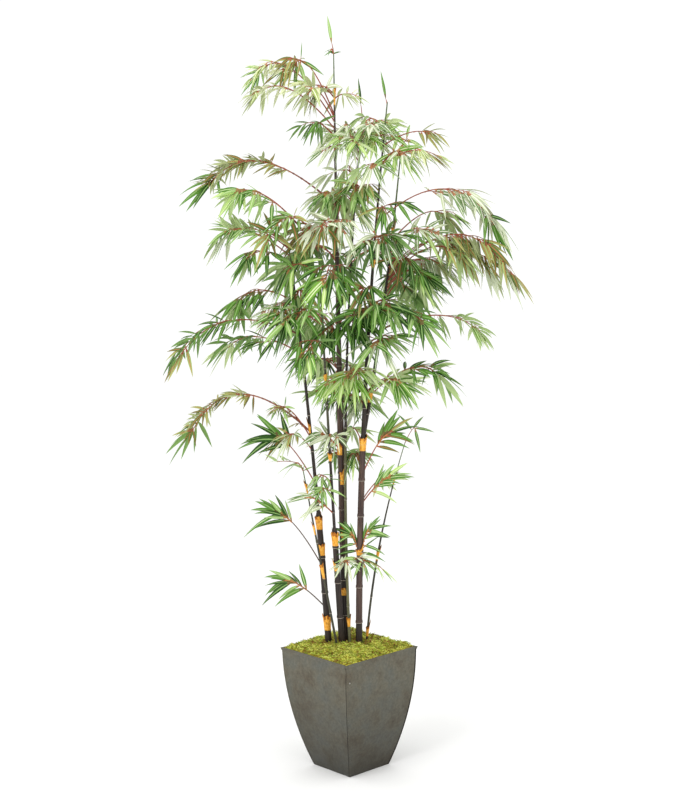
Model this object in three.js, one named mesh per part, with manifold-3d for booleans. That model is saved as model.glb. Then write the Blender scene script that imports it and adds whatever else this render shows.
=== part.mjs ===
// An artificial black bamboo in a square tapering planter, 2.44 m tall.
//
// Frame: millimetres, +Z up. The origin is the centre of the planter's flat underside.
// The planter stands corner-on: its four corners lie over the X and Y axes, and the
// corner over -Y faces the viewer.
//
// Slender dark culms rise out of a mound of moss. Foliage grows from them in sprays: each
// spray is one arching stem with side twigs, and every twig ends in a small fan of leaves.
import * as THREE from 'three';
import { mergeVertices } from 'three/addons/utils/BufferGeometryUtils.js';
import Module from 'manifold-3d';

const wasm = await Module();
wasm.setup();

// Driving dimensions, in millimetres and degrees
const GAP = 0.3; // clearance between pieces that touch

const POT_HEIGHT = 402;
const POT_RIM_SIDE = 312;
const POT_FOOT_SIDE = 175;
const POT_WALL = 2.5;
const POT_FLOOR = 5;
const POT_STEPS = 6; // levels that follow the bowed sides
const RIM_HEIGHT = 6;
const RIM_FLARE = 3; // how far the folded rim stands out

const MOSS_MOUND = 20; // height of the mound over the rim
const MOSS_SINK = 4; // the moss meets the wall this far below the rim
const MOSS_LEVELS = [0.72, 0.4]; // shares of its breadth at which the mound has an edge
const SOCKET_FLOOR = 360; // the culms' flat lower ends, set in the fill

const RING_HEIGHT = 1.2; // how far a node ring stands out
const RING_HALF = 4;
const SHEATH_FOOT = 1.2; // how far a papery sheath stands out at its foot
const SHEATH_MOUTH = 2.6; // and at its open top
const SHEATH_EDGE = 2;
const LONGEST_STEP = 190; // longest straight stretch of a culm

const STEM_RADIUS = 3;
const STEM_TIP_RADIUS = 2;
const STEM_STEPS = 4; // straight stretches that an arching stem is made of
const BOUGH_RADIUS = 4;
const BOUGH_TIP_RADIUS = 3;
const BOUGH_STEPS = 3;
const BOUGH_SIDES = 5;
const SHORTEST_BOUGH = 125; // a bare stretch of stem this long or longer is a bough of its own
const TWIG_RADIUS = 2.4;
const TWIG_TIP_RADIUS = 1.9;
const TWIG_SIDES = 3;
const TWIG_SPACING = 75;
const TWIG_LENGTH = 62;
const TWIG_SIZES = [0.8, 1.2]; // shares of that length
const TWIG_TAPER = 0.4; // a twig at the stem's end is shorter by this share
const TWIG_TURNS = [34, 58]; // angles seen from above between a stem and its twigs
const TWIG_PITCH = 0.5; // a twig climbs or falls at this share of its stem's angle
const TWIG_SAG = 12; // and sags by up to this many degrees
const LEAF_LENGTH = 116;
const LEAF_WIDTH = 22;
const LEAF_SIZES = [0.82, 1.14]; // shares of that length and width
const LEAF_THICKNESS = 2;
const LEAF_MIDDLE = 0.38; // where a leaf is widest
const LEAF_DROOP = 14; // how far a leaf's tip sags
const LEAF_STRAY = 34; // degrees that a leaf's direction varies by
const TIP_LEAF = 0.8; // leaves on a culm's tip are smaller than the rest
const TIP_STRAY = 6;
const LEAF_TRIES = 6; // directions that are tried before a leaf is left out
const SPACE_MARGIN = 4; // a spray keeps this far inside the space nearest to its own stem
const LIMB_CLEARANCE = 2;
const LEAF_CLEARANCE = 8;
const SAMPLES = [0.12, 0.27, 0.42, 0.57, 0.72, 0.87, 1]; // shares of a leaf that are tested
const ROOT_SAMPLES = 6; // the points next to its root, which other leaves may come close to
const ARCH_EASE = 0.3; // how much faster a stem goes outwards near its root than at its tip
const TWIG_LEAVES = [[0.3, 62], [0.55, -56], [0.8, 38], [0.98, -10]]; // share of the twig, turn from it
const TIP_FAN = [0, 40, -40, 78, -78];
const WIDE_FAN = [0, 45, -45, 95, -95, 150]; // on a short stem
const SHORT_REACH = 200;
const FAN_START = 4; // the last leaf of a fan starts this far before the end of its stem
const FAN_STAGGER = 9;
const TIP_SINK = 8; // how far a tip's stem starts inside its culm

// Culms. Each rises from its foot to its tip in one shallow bow, whose middle is pulled
// towards "bend". The right fork comes out of a sheath on the right culm. Radii: at the
// foot, below and above the step, and at the tip. The step is where a thinner culm comes out
// of a thicker one. Rings: the height of the lowest node ring and of the highest. Sheaths:
// the foot and the length of each.
const INTERNODE = 118;
const CULMS = {
  left: {
    name: 'culm_left', foot: [-66, -5], bend: [-95, -14], tip: [-163, -50],
    bottom: SOCKET_FLOOR, top: 1730, radii: [11, 10, 6, 3.2], step: 845, sides: 6,
    rings: [586, 980], sheaths: [[461, 50], [712, 40], [800, 45], [1118, 30], [1366, 28], [1640, 26]],
  },
  leftThin: {
    name: 'culm_left_thin', foot: [-36, -28], bend: [-86, -42], tip: [-135, -55],
    bottom: SOCKET_FLOOR, top: 1012, radii: [4.2, 3.8, 3.8, 1.6], step: 700, sides: 5,
    rings: [0, 0], sheaths: [[640, 50], [788, 36], [925, 34]],
  },
  centreLeft: {
    name: 'culm_centre_left', foot: [-22, -13], bend: [-50, -45], tip: [-66, -100],
    bottom: SOCKET_FLOOR, top: 1755, radii: [10, 9.5, 5, 2.6], step: 795, sides: 6,
    rings: [505, 650], sheaths: [[664, 24], [740, 55], [1030, 26], [1290, 24]],
  },
  centre: {
    name: 'culm_centre', foot: [-12, 16], bend: [-16, 22], tip: [-10, 14],
    bottom: SOCKET_FLOOR, top: 2330, radii: [12, 11, 9.5, 1.6], step: 1190, sides: 6,
    rings: [505, 1190], sheaths: [[573, 24], [766, 38], [942, 46], [1040, 34], [1288, 24], [2162, 50]],
  },
  centreThin: {
    name: 'culm_centre_thin', foot: [4, -9], bend: [-23, -6], tip: [76, 60],
    bottom: SOCKET_FLOOR, top: 2134, radii: [4.8, 4.5, 4.5, 1.8], step: 1200, sides: 5,
    rings: [0, 0], sheaths: [[472, 32], [1668, 26], [1895, 74]],
  },
  right: {
    name: 'culm_right', foot: [34, -17], bend: [50, -20], tip: [158, -34],
    bottom: SOCKET_FLOOR, top: 2166, radii: [11, 10, 7.4, 2], step: 1110, sides: 6,
    rings: [488, 1000], sheaths: [[714, 30], [1058, 52], [1648, 26]],
  },
  rightFork: {
    name: 'culm_right_fork', foot: [61, -20], bend: [150, 40], tip: [198, 78],
    bottom: 1095, top: 2030, radii: [6.2, 5.5, 5.5, 1.8], step: 1400, sides: 5,
    rings: [0, 0], sheaths: [[1214, 46], [1482, 26], [1744, 30]],
  },
  rightThin: {
    name: 'culm_right_thin', foot: [57, 24], bend: [87, 42], tip: [196, 72],
    bottom: SOCKET_FLOOR, top: 1072, radii: [4, 3.6, 3.6, 1.3], step: 700, sides: 5,
    rings: [0, 0], sheaths: [[430, 32], [680, 42], [930, 34]],
  },
};

// Sprays. Columns: name, culm, height of the root, azimuth (0 is +X, 90 is +Y, away from the
// viewer), reach, rise of the arch over its root, height of its tip over its root, the bare
// share of the stem, and the angle that its leaves hang at (0 level, 90 straight down).
const SPRAYS = [
  ['top_left_back', 'centre', 2118, 171, 222, 198, 172, 0.36, 25],
  ['top_left_front', 'centre', 2088, 192, 235, 126, 113, 0.34, 32],
  ['top_left_dark', 'centre', 2062, 218, 105, 45, 38, 0.25, 25],
  ['top_centre', 'centreThin', 2000, 262, 120, 60, 40, 0.35, 25],
  ['top_centre_right', 'right', 2050, 215, 75, 40, 32, 0.4, 25],
  ['top_right_arm', 'right', 2030, 14, 152, 44, 36, 0.3, 35],
  ['top_right_low', 'right', 1970, 338, 140, 44, 28, 0.3, 40],
  ['upper_left_arch', 'centre', 1845, 174, 370, 155, 106, 0.34, 25],
  ['upper_left_second', 'centreLeft', 1705, 200, 270, 192, 183, 0.38, 20],
  ['left_upright', 'left', 1690, 164, 190, 85, 82, 0.3, -40],
  ['left_hanging', 'left', 1660, 210, 160, 48, 28, 0.28, 48],
  ['left_middle', 'left', 1538, 172, 160, 45, 22, 0.28, 42],
  ['left_long', 'left', 1438, 188, 345, 48, -42, 0.36, 45],
  ['left_lower_row', 'left', 1368, 160, 235, 57, 31, 0.26, 45],
  ['long_left_arch', 'left', 1122, 183, 365, 128, 5, 0.36, 40],
  ['left_fan', 'left', 950, 200, 125, 165, 165, 0.5, 10],
  ['left_low_fan', 'left', 688, 184, 140, 180, 180, 0.5, 5],
  ['lowest_left_fan', 'left', 540, 176, 130, 105, 105, 0.5, 15],
  ['pale_middle', 'centre', 1050, 235, 106, 72, 72, 0.35, 15],
  ['pale_low', 'centreLeft', 855, 215, 95, 65, 65, 0.4, 5],
  ['centre_star', 'centreThin', 1290, 285, 100, 30, 10, 0.3, 60],
  ['centre_dark', 'centre', 1460, 300, 110, 35, 0, 0.3, 58],
  ['right_low_fan', 'right', 715, 330, 70, 55, 55, 0.4, 5],
  ['right_mid_low', 'right', 880, 20, 78, 92, 92, 0.45, 5],
  ['right_mid', 'right', 975, 345, 84, 153, 153, 0.5, -8],
  ['right_bough', 'rightFork', 1236, 352, 225, 105, 80, 0.26, 45],
  ['right_inner', 'rightFork', 1455, 315, 165, 40, 10, 0.28, 45],
  ['right_long', 'rightFork', 1445, 13, 280, 60, 22, 0.42, 45],
  ['right_arch_middle', 'rightFork', 1622, 352, 370, 123, 48, 0.28, 40],
  ['right_upper_second', 'rightFork', 1730, 25, 150, 88, 80, 0.3, 40],
  ['right_upper_arch', 'right', 1790, 5, 345, 95, 20, 0.28, 50],
  ['centre_pale', 'centre', 1750, 256, 170, 50, 20, 0.3, 35],
  ['centre_front', 'centre', 1610, 283, 200, 50, -10, 0.3, 48],
  ['centre_left_low', 'centreLeft', 1480, 215, 140, 45, 10, 0.3, 50],
  ['centre_low_front', 'centreLeft', 1385, 255, 170, 45, 0, 0.3, 52],
  ['back_low', 'centre', 1400, 112, 290, 90, 20, 0.28, 45],
  ['back_middle', 'centre', 1600, 66, 290, 100, 20, 0.28, 45],
  ['back_upper', 'centre', 1790, 100, 260, 100, 40, 0.28, 40],
  ['back_right', 'rightFork', 1540, 55, 220, 70, 10, 0.28, 45],
  ['back_left', 'left', 1590, 118, 210, 70, 20, 0.28, 42],
];

// Sprays that stand on a culm's tip. Columns: name, culm, azimuth, reach, height of the tip
// over the root, angle that the leaves hang at, and the turns of the leaves about the stem.
const TIPS = [
  ['centre_tip', 'centre', 190, 6, 30, -80, [0]],
  ['centre_thin_tip', 'centreThin', 175, 4, 14, -83, [0]],
  ['right_tip', 'right', 175, 4, 14, -78, [0]],
  ['right_fork_tip', 'rightFork', 20, 24, 34, 15, [-70, 0, 80, 170]],
  ['right_thin_tip', 'rightThin', 15, 36, 52, -30, [-110, -40, 20, 90]],
];

// Finishes
const potMetal = new THREE.MeshStandardMaterial({ color: 0x5c5a52, roughness: 0.55, metalness: 0.8 });
const mossGreen = new THREE.MeshStandardMaterial({ color: 0x8f9a2e, roughness: 0.95, metalness: 0 });
const culmBlack = new THREE.MeshStandardMaterial({ color: 0x2e2523, roughness: 0.45, metalness: 0 });
const stemBrown = new THREE.MeshStandardMaterial({ color: 0x8a4a34, roughness: 0.6, metalness: 0 });
const leafGreen = new THREE.MeshStandardMaterial({ color: 0x3c7a30, roughness: 0.5, metalness: 0 });

const UP = new THREE.Vector3(0, 0, 1);
const { degToRad: degrees, lerp, mapLinear } = THREE.MathUtils;

// The same sequence of numbers from 0 to 1 for the same seed.
function seededRandom(seed) {
  let state = seed * 7919 + 17;
  return () => {
    state = (state * 48271) % 2147483647;
    return state / 2147483647;
  };
}

// A closed geometry as a solid: shared corners are merged and faces with no area dropped.
function toSolid(geometry) {
  geometry.deleteAttribute('normal');
  geometry.deleteAttribute('uv');
  const merged = mergeVertices(geometry, 1e-3);
  const corners = merged.index.array;
  const triVerts = [];
  for (let i = 0; i < corners.length; i += 3) {
    const [a, b, c] = [corners[i], corners[i + 1], corners[i + 2]];
    if (a !== b && b !== c && c !== a) triVerts.push(a, b, c);
  }
  return new wasm.Manifold(new wasm.Mesh({
    numProp: 3,
    vertProperties: new Float32Array(merged.attributes.position.array),
    triVerts: new Uint32Array(triVerts),
  }));
}

// A solid as a named mesh whose own origin is at the given place.
function toMesh(name, solid, place, material) {
  const { vertProperties, triVerts } = solid.getMesh();
  const geometry = new THREE.BufferGeometry();
  geometry.setAttribute('position', new THREE.BufferAttribute(new Float32Array(vertProperties), 3));
  geometry.setIndex(new THREE.BufferAttribute(new Uint32Array(triVerts), 1));
  geometry.translate(-place.x, -place.y, -place.z);
  const flat = geometry.toNonIndexed();
  flat.computeVertexNormals();
  const mesh = new THREE.Mesh(flat, material);
  mesh.name = name;
  mesh.position.copy(place);
  return mesh;
}

// The largest body of a solid, without loose scraps and sealed hollows.
function largestBody(solid) {
  const bodies = solid.decompose();
  return bodies.reduce((best, body) => (body.volume() > best.volume() ? body : best));
}

// A bar of round section through a row of stations, each with its centre and radius.
// Sections are level on an upright bar, with a corner over +X. On any other bar they are
// square to its path, with a corner underneath, so that leaves come out of flat sides.
function bar(stations, sides, upright) {
  const last = stations.length - 1;
  const geometry = new THREE.CylinderGeometry(1, 1, 1, sides, last);
  const position = geometry.attributes.position;
  for (let i = 0; i < position.count; i += 1) {
    const index = Math.round((position.getY(i) + 0.5) * last);
    const { centre, radius } = stations[index];
    const before = stations[Math.max(index - 1, 0)].centre;
    const after = stations[Math.min(index + 1, last)].centre;
    const along = upright ? UP : after.clone().sub(before).normalize();
    const across = upright ? new THREE.Vector3(0, 1, 0) : UP.clone().cross(along).normalize();
    const third = across.clone().cross(along);
    const point = centre.clone()
      .addScaledVector(across, position.getX(i) * radius)
      .addScaledVector(third, position.getZ(i) * radius);
    position.setXYZ(i, point.x, point.y, point.z);
  }
  return toSolid(geometry);
}

// Half the diagonal of the planter's outside at a height: the sides bow out along a parabola.
function potCorner(z) {
  const below = 1 - Math.min(z / POT_HEIGHT, 1);
  const side = POT_FOOT_SIDE + (POT_RIM_SIDE - POT_FOOT_SIDE) * (1 - below * below);
  return side / Math.SQRT2;
}

// A four-sided turned shape has its corners over the axes, as the planter does.
function squareTurning(profile) {
  const points = profile.map(([corner, z]) => new THREE.Vector2(corner, z));
  const geometry = new THREE.LatheGeometry(points, 4);
  geometry.rotateX(Math.PI / 2);
  return toSolid(geometry);
}

// Levels of the bowed sides between two heights, from the lower up. The wall's inside and
// the fill share those in between, so that their faces stay parallel.
function potLevels(from, to) {
  const levels = [from];
  for (let i = 1; i < POT_STEPS; i += 1) levels.push((POT_HEIGHT * i) / POT_STEPS);
  return [...levels, to];
}

function potSolid() {
  const wall = POT_WALL * Math.SQRT2;
  const outside = potLevels(0, POT_HEIGHT - RIM_HEIGHT).map((z) => [potCorner(z), z]);
  const inside = potLevels(POT_FLOOR, POT_HEIGHT).map((z) => [potCorner(z) - wall, z]).reverse();
  const rim = [[potCorner(POT_HEIGHT) + RIM_FLARE, POT_HEIGHT]];
  return squareTurning([[0, 0], ...outside, ...rim, ...inside, [0, POT_FLOOR]]);
}

function mossSolid(limbs) {
  const clearance = (POT_WALL + GAP) * Math.SQRT2;
  const edge = POT_HEIGHT - MOSS_SINK;
  const wall = potLevels(POT_FLOOR + GAP, edge).map((z) => [potCorner(z) - clearance, z]);
  const brim = potCorner(edge) - clearance;
  const mound = MOSS_LEVELS.map((share) => [
    brim * share, edge + (MOSS_MOUND + MOSS_SINK) * (1 - share * share),
  ]);
  const top = [0, POT_HEIGHT + MOSS_MOUND];
  const fill = squareTurning([[0, POT_FLOOR + GAP], ...wall, ...mound, top]);
  const sockets = limbs.filter((limb) => limb.bottom < POT_HEIGHT).map((limb) => limb.socket);
  return fill.subtract(wasm.Manifold.union(sockets));
}

// The centre of a culm at a height. Its height runs evenly along the bow.
function culmCentre(culm, z) {
  const start = culm.bottom === SOCKET_FLOOR ? POT_HEIGHT : culm.bottom;
  const t = (z - start) / (culm.top - start);
  const weigh = (axis) => (1 - t) ** 2 * culm.foot[axis] + 2 * t * (1 - t) * culm.bend[axis]
    + t ** 2 * culm.tip[axis];
  return new THREE.Vector3(weigh(0), weigh(1), z);
}

function culmRadius(culm, z) {
  const [foot, below, above, tip] = culm.radii;
  if (z <= culm.step) return mapLinear(z, culm.bottom, culm.step, foot, below);
  return mapLinear(z, culm.step, culm.top, above, tip);
}

// Heights and radii up a culm: its ends, node rings and sheaths, and a station at least
// every LONGEST_STEP between them.
function culmStations(culm, grow) {
  const radiusAt = (z) => culmRadius(culm, z);
  const marks = [[culm.bottom, radiusAt(culm.bottom)], [culm.top, radiusAt(culm.top)]];
  for (const [foot, length] of culm.sheaths) {
    const mouth = foot + length;
    marks.push([foot - SHEATH_EDGE, radiusAt(foot)]);
    marks.push([foot, radiusAt(foot) + SHEATH_FOOT]);
    marks.push([mouth, radiusAt(foot) + SHEATH_MOUTH]);
    marks.push([mouth + SHEATH_EDGE, radiusAt(mouth + SHEATH_EDGE)]);
  }
  const clear = (z) => culm.sheaths.every(([foot, length]) => (
    z < foot - 4 * RING_HALF || z > foot + length + 4 * RING_HALF));
  const [lowest, highest] = culm.rings;
  for (let z = lowest; lowest > 0 && z <= highest; z += INTERNODE) {
    if (!clear(z)) continue;
    marks.push([z - RING_HALF, radiusAt(z)]);
    marks.push([z, radiusAt(z) + RING_HEIGHT]);
    marks.push([z + RING_HALF, radiusAt(z)]);
  }
  marks.sort((a, b) => a[0] - b[0]);
  const stations = [];
  marks.forEach(([z, radius], i) => {
    const before = i > 0 ? marks[i - 1][0] : z;
    const extra = Math.floor((z - before) / LONGEST_STEP);
    for (let j = 1; j <= extra; j += 1) {
      const between = before + ((z - before) * j) / (extra + 1);
      stations.push({ centre: culmCentre(culm, between), radius: radiusAt(between) + grow });
    }
    stations.push({ centre: culmCentre(culm, z), radius: radius + grow });
  });
  return stations;
}

// How much a bar's radius grows to hold GAP from its flat sides too.
function growthFor(sides) {
  return GAP / Math.cos(Math.PI / sides);
}

function culmLimb(culm) {
  const stations = culmStations(culm, 0);
  const wider = culmStations(culm, growthFor(culm.sides));
  wider[0].centre.z -= GAP;
  return {
    name: culm.name,
    bottom: culm.bottom,
    stations,
    solid: bar(stations, culm.sides, true),
    socket: bar(wider, culm.sides, true),
    centreAt: (z) => culmCentre(culm, z),
  };
}

// A unit vector from its azimuth and its angle over the level.
function pointing(azimuth, elevation) {
  const level = Math.cos(degrees(elevation));
  return new THREE.Vector3(
    level * Math.cos(degrees(azimuth)),
    level * Math.sin(degrees(azimuth)),
    Math.sin(degrees(elevation)),
  );
}

// The arching stem of a spray. It leaves its root steeply, passes over its highest point
// and comes down to its tip.
class Arch extends THREE.Curve {
  constructor(root, azimuth, reach, rise, fall) {
    super();
    this.root = root;
    this.azimuth = azimuth;
    this.reach = reach;
    this.fall = fall;
    this.climb = 2 * rise + 2 * Math.sqrt(rise * (rise - fall));
  }

  getPoint(t) {
    const out = this.reach * (t + ARCH_EASE * t * (1 - t));
    const height = this.climb * t + (this.fall - this.climb) * t * t;
    return this.root.clone().addScaledVector(pointing(this.azimuth, 0), out).addScaledVector(UP, height);
  }

  elevation(t) {
    return THREE.MathUtils.radToDeg(Math.asin(this.getTangent(t).z));
  }
}

function archStations(arch, from, steps, thick, thin, to = 1) {
  const stations = [];
  for (let i = 0; i <= steps; i += 1) {
    const share = i / steps;
    const centre = arch.getPoint(from + (to - from) * share);
    stations.push({ centre, radius: lerp(thick, thin, share) });
  }
  return stations;
}

// A place on the straight stretches of a spray's stem, at a share of its whole arch.
function stemPoint({ stations, from }, t) {
  const steps = stations.length - 1;
  const at = ((t - from) / (1 - from)) * steps;
  const index = Math.min(Math.floor(at), steps - 1);
  return stations[index].centre.clone().lerp(stations[index + 1].centre, at - index);
}

// A leaf: a flat underside and a ridged top, widest before its middle. Its root is sunk to
// the axis of its twig, and its tip sags.
function leafSolid({ root, middle, end, along, across, width }) {
  const normal = along.clone().cross(across);
  const under = middle.clone().addScaledVector(normal, -LEAF_THICKNESS / 2);
  const corners = [
    root,
    under.clone().addScaledVector(across, width / 2),
    under.clone().addScaledVector(across, -width / 2),
    middle.clone().addScaledVector(normal, LEAF_THICKNESS / 2),
    end,
  ];
  const [foot, left, right, ridge, tip] = corners.keys();
  const geometry = new THREE.BufferGeometry().setFromPoints(corners);
  geometry.setIndex([
    foot, ridge, left, foot, right, ridge, ridge, tip, left, ridge, right, tip,
    foot, left, right, left, tip, right,
  ]);
  return toSolid(geometry);
}

// Distance from a point to a row of stations, less the radius there when asked.
function distanceTo(point, stations, lessRadius) {
  let nearest = Infinity;
  const line = new THREE.Line3();
  const foot = new THREE.Vector3();
  for (let i = 1; i < stations.length; i += 1) {
    line.set(stations[i - 1].centre, stations[i].centre);
    line.closestPointToPoint(point, true, foot);
    const radius = lessRadius ? Math.max(stations[i - 1].radius, stations[i].radius) : 0;
    nearest = Math.min(nearest, foot.distanceTo(point) - radius);
  }
  return nearest;
}

// Points down both edges and the middle of a leaf or twig, to test against what is round it.
function samplePoints({ root, middle, end, across, width }) {
  const points = [];
  for (const share of SAMPLES) {
    const rising = share <= LEAF_MIDDLE;
    const part = rising ? share / LEAF_MIDDLE : (share - LEAF_MIDDLE) / (1 - LEAF_MIDDLE);
    const centre = rising ? root.clone().lerp(middle, part) : middle.clone().lerp(end, part);
    const half = (width / 2) * (rising ? part : 1 - part);
    for (const side of half > 0 ? [-1, 0, 1] : [0]) {
      points.push(centre.clone().addScaledVector(across, side * half));
    }
  }
  return points;
}

// How far a point is from the middle of a spray's space, which lies below its stem by as
// much as its leaves hang.
function depthInto(spray, point) {
  return distanceTo(point.clone().addScaledVector(UP, spray.drop), spray.stations, false);
}

// True if every point is nearer to the middle of the spray's own space than to that of any
// other, and clear of every limb and of the other sprays' stems.
function keepsItsSpace(points, own, sprays, limbs) {
  const others = sprays.filter((spray) => spray !== own);
  return points.every((point) => {
    const mine = depthInto(own, point) + SPACE_MARGIN;
    return others.every((spray) => depthInto(spray, point) > mine)
      && [...others, ...limbs].every(({ stations }) => distanceTo(point, stations, true) > LIMB_CLEARANCE);
  });
}

// A leaf that grows from a place on a twig. Its blade lies level across its length, rolled a
// little. Each new attempt strays further from the direction that is asked for.
function makeLeaf(root, heading, { hang, scale }, stray, random) {
  const sway = () => stray * (random() - 0.5);
  const along = pointing(heading + sway(), -hang - 0.8 * sway());
  const across = UP.clone().cross(along).normalize().applyAxisAngle(along, degrees(sway()));
  const size = scale * lerp(...LEAF_SIZES, random());
  const length = LEAF_LENGTH * size;
  const middle = root.clone().addScaledVector(along, length * LEAF_MIDDLE);
  const end = root.clone().addScaledVector(along, length);
  end.z -= LEAF_DROOP * Math.cos(degrees(hang)) * size;
  return { root, middle, end, along, across, width: LEAF_WIDTH * size };
}

// The twigs and leaves of one spray, by the same rule for every spray: side twigs leave the
// stem to the left and right by turns, shorter towards its tip, and each carries a fan of
// leaves. The stem ends in a fan too. What would leave the spray's space, or touch a limb or
// another leaf, is turned a little and tried again, and then left out.
function growSpray(spray, sprays, limbs) {
  const random = seededRandom(spray.seed);
  const solids = [bar(spray.stations, TWIG_SIDES, false)];
  const blades = [];
  const addLeaf = (root, heading) => {
    for (let attempt = 1; attempt <= LEAF_TRIES; attempt += 1) {
      const leaf = makeLeaf(root, heading, spray, spray.stray * (0.5 + 0.5 * attempt), random);
      const points = samplePoints(leaf);
      const outer = points.slice(ROOT_SAMPLES);
      const clear = blades.every((blade) => (
        outer.every((point) => distanceTo(point, blade, false) > LEAF_CLEARANCE)));
      if (clear && keepsItsSpace(points, spray, sprays, limbs)) {
        solids.push(leafSolid(leaf));
        blades.push([{ centre: leaf.middle }, { centre: leaf.end }]);
        return true;
      }
    }
    return false;
  };
  const { arch, bare } = spray;
  const count = Math.round((arch.getLength() * (1 - bare)) / TWIG_SPACING);
  for (let k = 0; k < count; k += 1) {
    const t = bare + ((1 - bare) * (k + 0.3)) / count;
    const root = stemPoint(spray, t);
    const side = k % 2 ? -1 : 1;
    const heading = arch.azimuth + side * lerp(...TWIG_TURNS, random());
    const direction = pointing(heading, arch.elevation(t) * TWIG_PITCH - TWIG_SAG * random());
    const length = TWIG_LENGTH * (1 - (TWIG_TAPER * k) / count) * lerp(...TWIG_SIZES, random());
    const end = root.clone().addScaledVector(direction, length);
    const middle = root.clone().lerp(end, LEAF_MIDDLE);
    const across = UP.clone().cross(direction).normalize();
    const outline = samplePoints({ root, middle, end, across, width: 2 * TWIG_RADIUS });
    if (!keepsItsSpace(outline, spray, sprays, limbs)) continue;
    const kept = TWIG_LEAVES.map(([share, turn]) => (
      addLeaf(root.clone().lerp(end, share), heading + side * turn)));
    if (!kept.includes(true)) continue;
    const twig = [{ centre: root, radius: TWIG_RADIUS }, { centre: end, radius: TWIG_TIP_RADIUS }];
    solids.push(bar(twig, TWIG_SIDES, false));
  }
  spray.fan.forEach((turn, i) => {
    const back = (FAN_START + i * FAN_STAGGER) / arch.getLength();
    addLeaf(stemPoint(spray, 1 - back), arch.azimuth + turn);
  });
  return wasm.Manifold.union(solids);
}

// Assemble the plant
const limbs = Object.values(CULMS).map(culmLimb);
const limbOf = Object.fromEntries(Object.keys(CULMS).map((key, i) => [key, limbs[i]]));
limbOf.rightFork.solid = largestBody(limbOf.rightFork.solid.subtract(limbOf.right.socket));
const sprays = [];
const boughs = [];
SPRAYS.forEach(([name, culm, z, azimuth, reach, rise, fall, bare, hang], i) => {
  const carrier = limbOf[culm];
  const arch = new Arch(carrier.centreAt(z), azimuth, reach, rise, fall);
  const isBough = bare * arch.getLength() >= SHORTEST_BOUGH;
  const from = isBough ? bare : 0;
  const spray = {
    name: `foliage_${name}`,
    seed: i + 1,
    stations: archStations(arch, from, STEM_STEPS, STEM_RADIUS, STEM_TIP_RADIUS),
    fan: reach < SHORT_REACH ? WIDE_FAN : TIP_FAN,
    drop: (LEAF_LENGTH / 2) * Math.sin(degrees(hang)),
    scale: 1,
    stray: LEAF_STRAY,
    arch,
    from,
    bare,
    hang,
    carrier,
  };
  if (isBough) {
    const stations = archStations(arch, 0, BOUGH_STEPS, BOUGH_RADIUS, BOUGH_TIP_RADIUS, bare);
    boughs.push({ name: `bough_${name}`, stations, carrier, spray });
  }
  sprays.push(spray);
});
TIPS.forEach(([name, culm, azimuth, reach, height, hang, fan], i) => {
  const carrier = limbOf[culm];
  const arch = new Arch(carrier.centreAt(CULMS[culm].top - TIP_SINK), azimuth, reach, height, height);
  sprays.push({
    name: `foliage_${name}`,
    seed: SPRAYS.length + i + 1,
    stations: archStations(arch, 0, 2, TWIG_RADIUS, TWIG_TIP_RADIUS),
    drop: (LEAF_LENGTH / 2) * Math.sin(degrees(hang)),
    scale: TIP_LEAF,
    stray: TIP_STRAY,
    from: 0,
    bare: 1,
    arch,
    hang,
    fan,
    carrier,
  });
});

const plant = new THREE.Group();
plant.name = 'potted_bamboo';
const planter = new THREE.Group();
planter.add(toMesh('planter', potSolid(), new THREE.Vector3(), potMetal));
planter.add(toMesh('moss', mossSolid(limbs), new THREE.Vector3(0, 0, POT_FLOOR), mossGreen));
plant.add(planter);

const stand = new THREE.Group();
for (const limb of limbs) {
  stand.add(toMesh(limb.name, limb.solid, limb.stations[0].centre, culmBlack));
}
plant.add(stand);

const crown = new THREE.Group();
for (const bough of boughs) {
  bough.solid = largestBody(bar(bough.stations, BOUGH_SIDES, false).subtract(bough.carrier.socket));
  const growth = growthFor(BOUGH_SIDES);
  const wider = bough.stations.map(({ centre, radius }) => ({ centre, radius: radius + growth }));
  const last = wider.at(-1);
  const along = last.centre.clone().sub(wider.at(-2).centre).normalize();
  last.centre = last.centre.clone().addScaledVector(along, GAP);
  bough.socket = bar(wider, BOUGH_SIDES, false);
  bough.spray.carrier = bough;
  crown.add(toMesh(bough.name, bough.solid, bough.stations[0].centre, stemBrown));
}
const everyLimb = [...limbs, ...boughs];
for (const spray of sprays) {
  const grown = growSpray(spray, sprays, everyLimb);
  const solid = largestBody(grown.subtract(spray.carrier.socket));
  crown.add(toMesh(spray.name, solid, spray.stations[0].centre, leafGreen));
}
plant.add(crown);

export default plant;
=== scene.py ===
"""Looks of an artificial black bamboo in a square tapering metal planter.

The plant is 2.44 m tall. The frame's origin is the centre of the planter's flat underside,
+Z is up, and the planter stands corner-on to the viewer, who looks along +Y.
Lengths are in millimetres and angles in degrees; a finished mesh is scaled to metres.
"""

import math
from collections import namedtuple

import bmesh
import bpy
import numpy as np
from mathutils import Matrix, Vector, noise


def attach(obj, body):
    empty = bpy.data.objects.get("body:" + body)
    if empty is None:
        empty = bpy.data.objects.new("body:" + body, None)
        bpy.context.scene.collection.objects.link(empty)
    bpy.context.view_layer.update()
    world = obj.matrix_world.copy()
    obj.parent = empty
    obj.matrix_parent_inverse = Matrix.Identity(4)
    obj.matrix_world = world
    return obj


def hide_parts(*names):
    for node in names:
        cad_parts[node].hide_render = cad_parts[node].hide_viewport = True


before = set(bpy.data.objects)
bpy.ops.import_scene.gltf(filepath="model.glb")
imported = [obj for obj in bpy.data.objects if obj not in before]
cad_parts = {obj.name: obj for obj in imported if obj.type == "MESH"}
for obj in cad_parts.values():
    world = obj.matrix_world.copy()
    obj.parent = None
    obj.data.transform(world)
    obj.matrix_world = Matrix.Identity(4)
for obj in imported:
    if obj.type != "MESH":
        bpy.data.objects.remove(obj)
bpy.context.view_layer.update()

MM = 0.001
UP = Vector((0, 0, 1))

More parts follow.
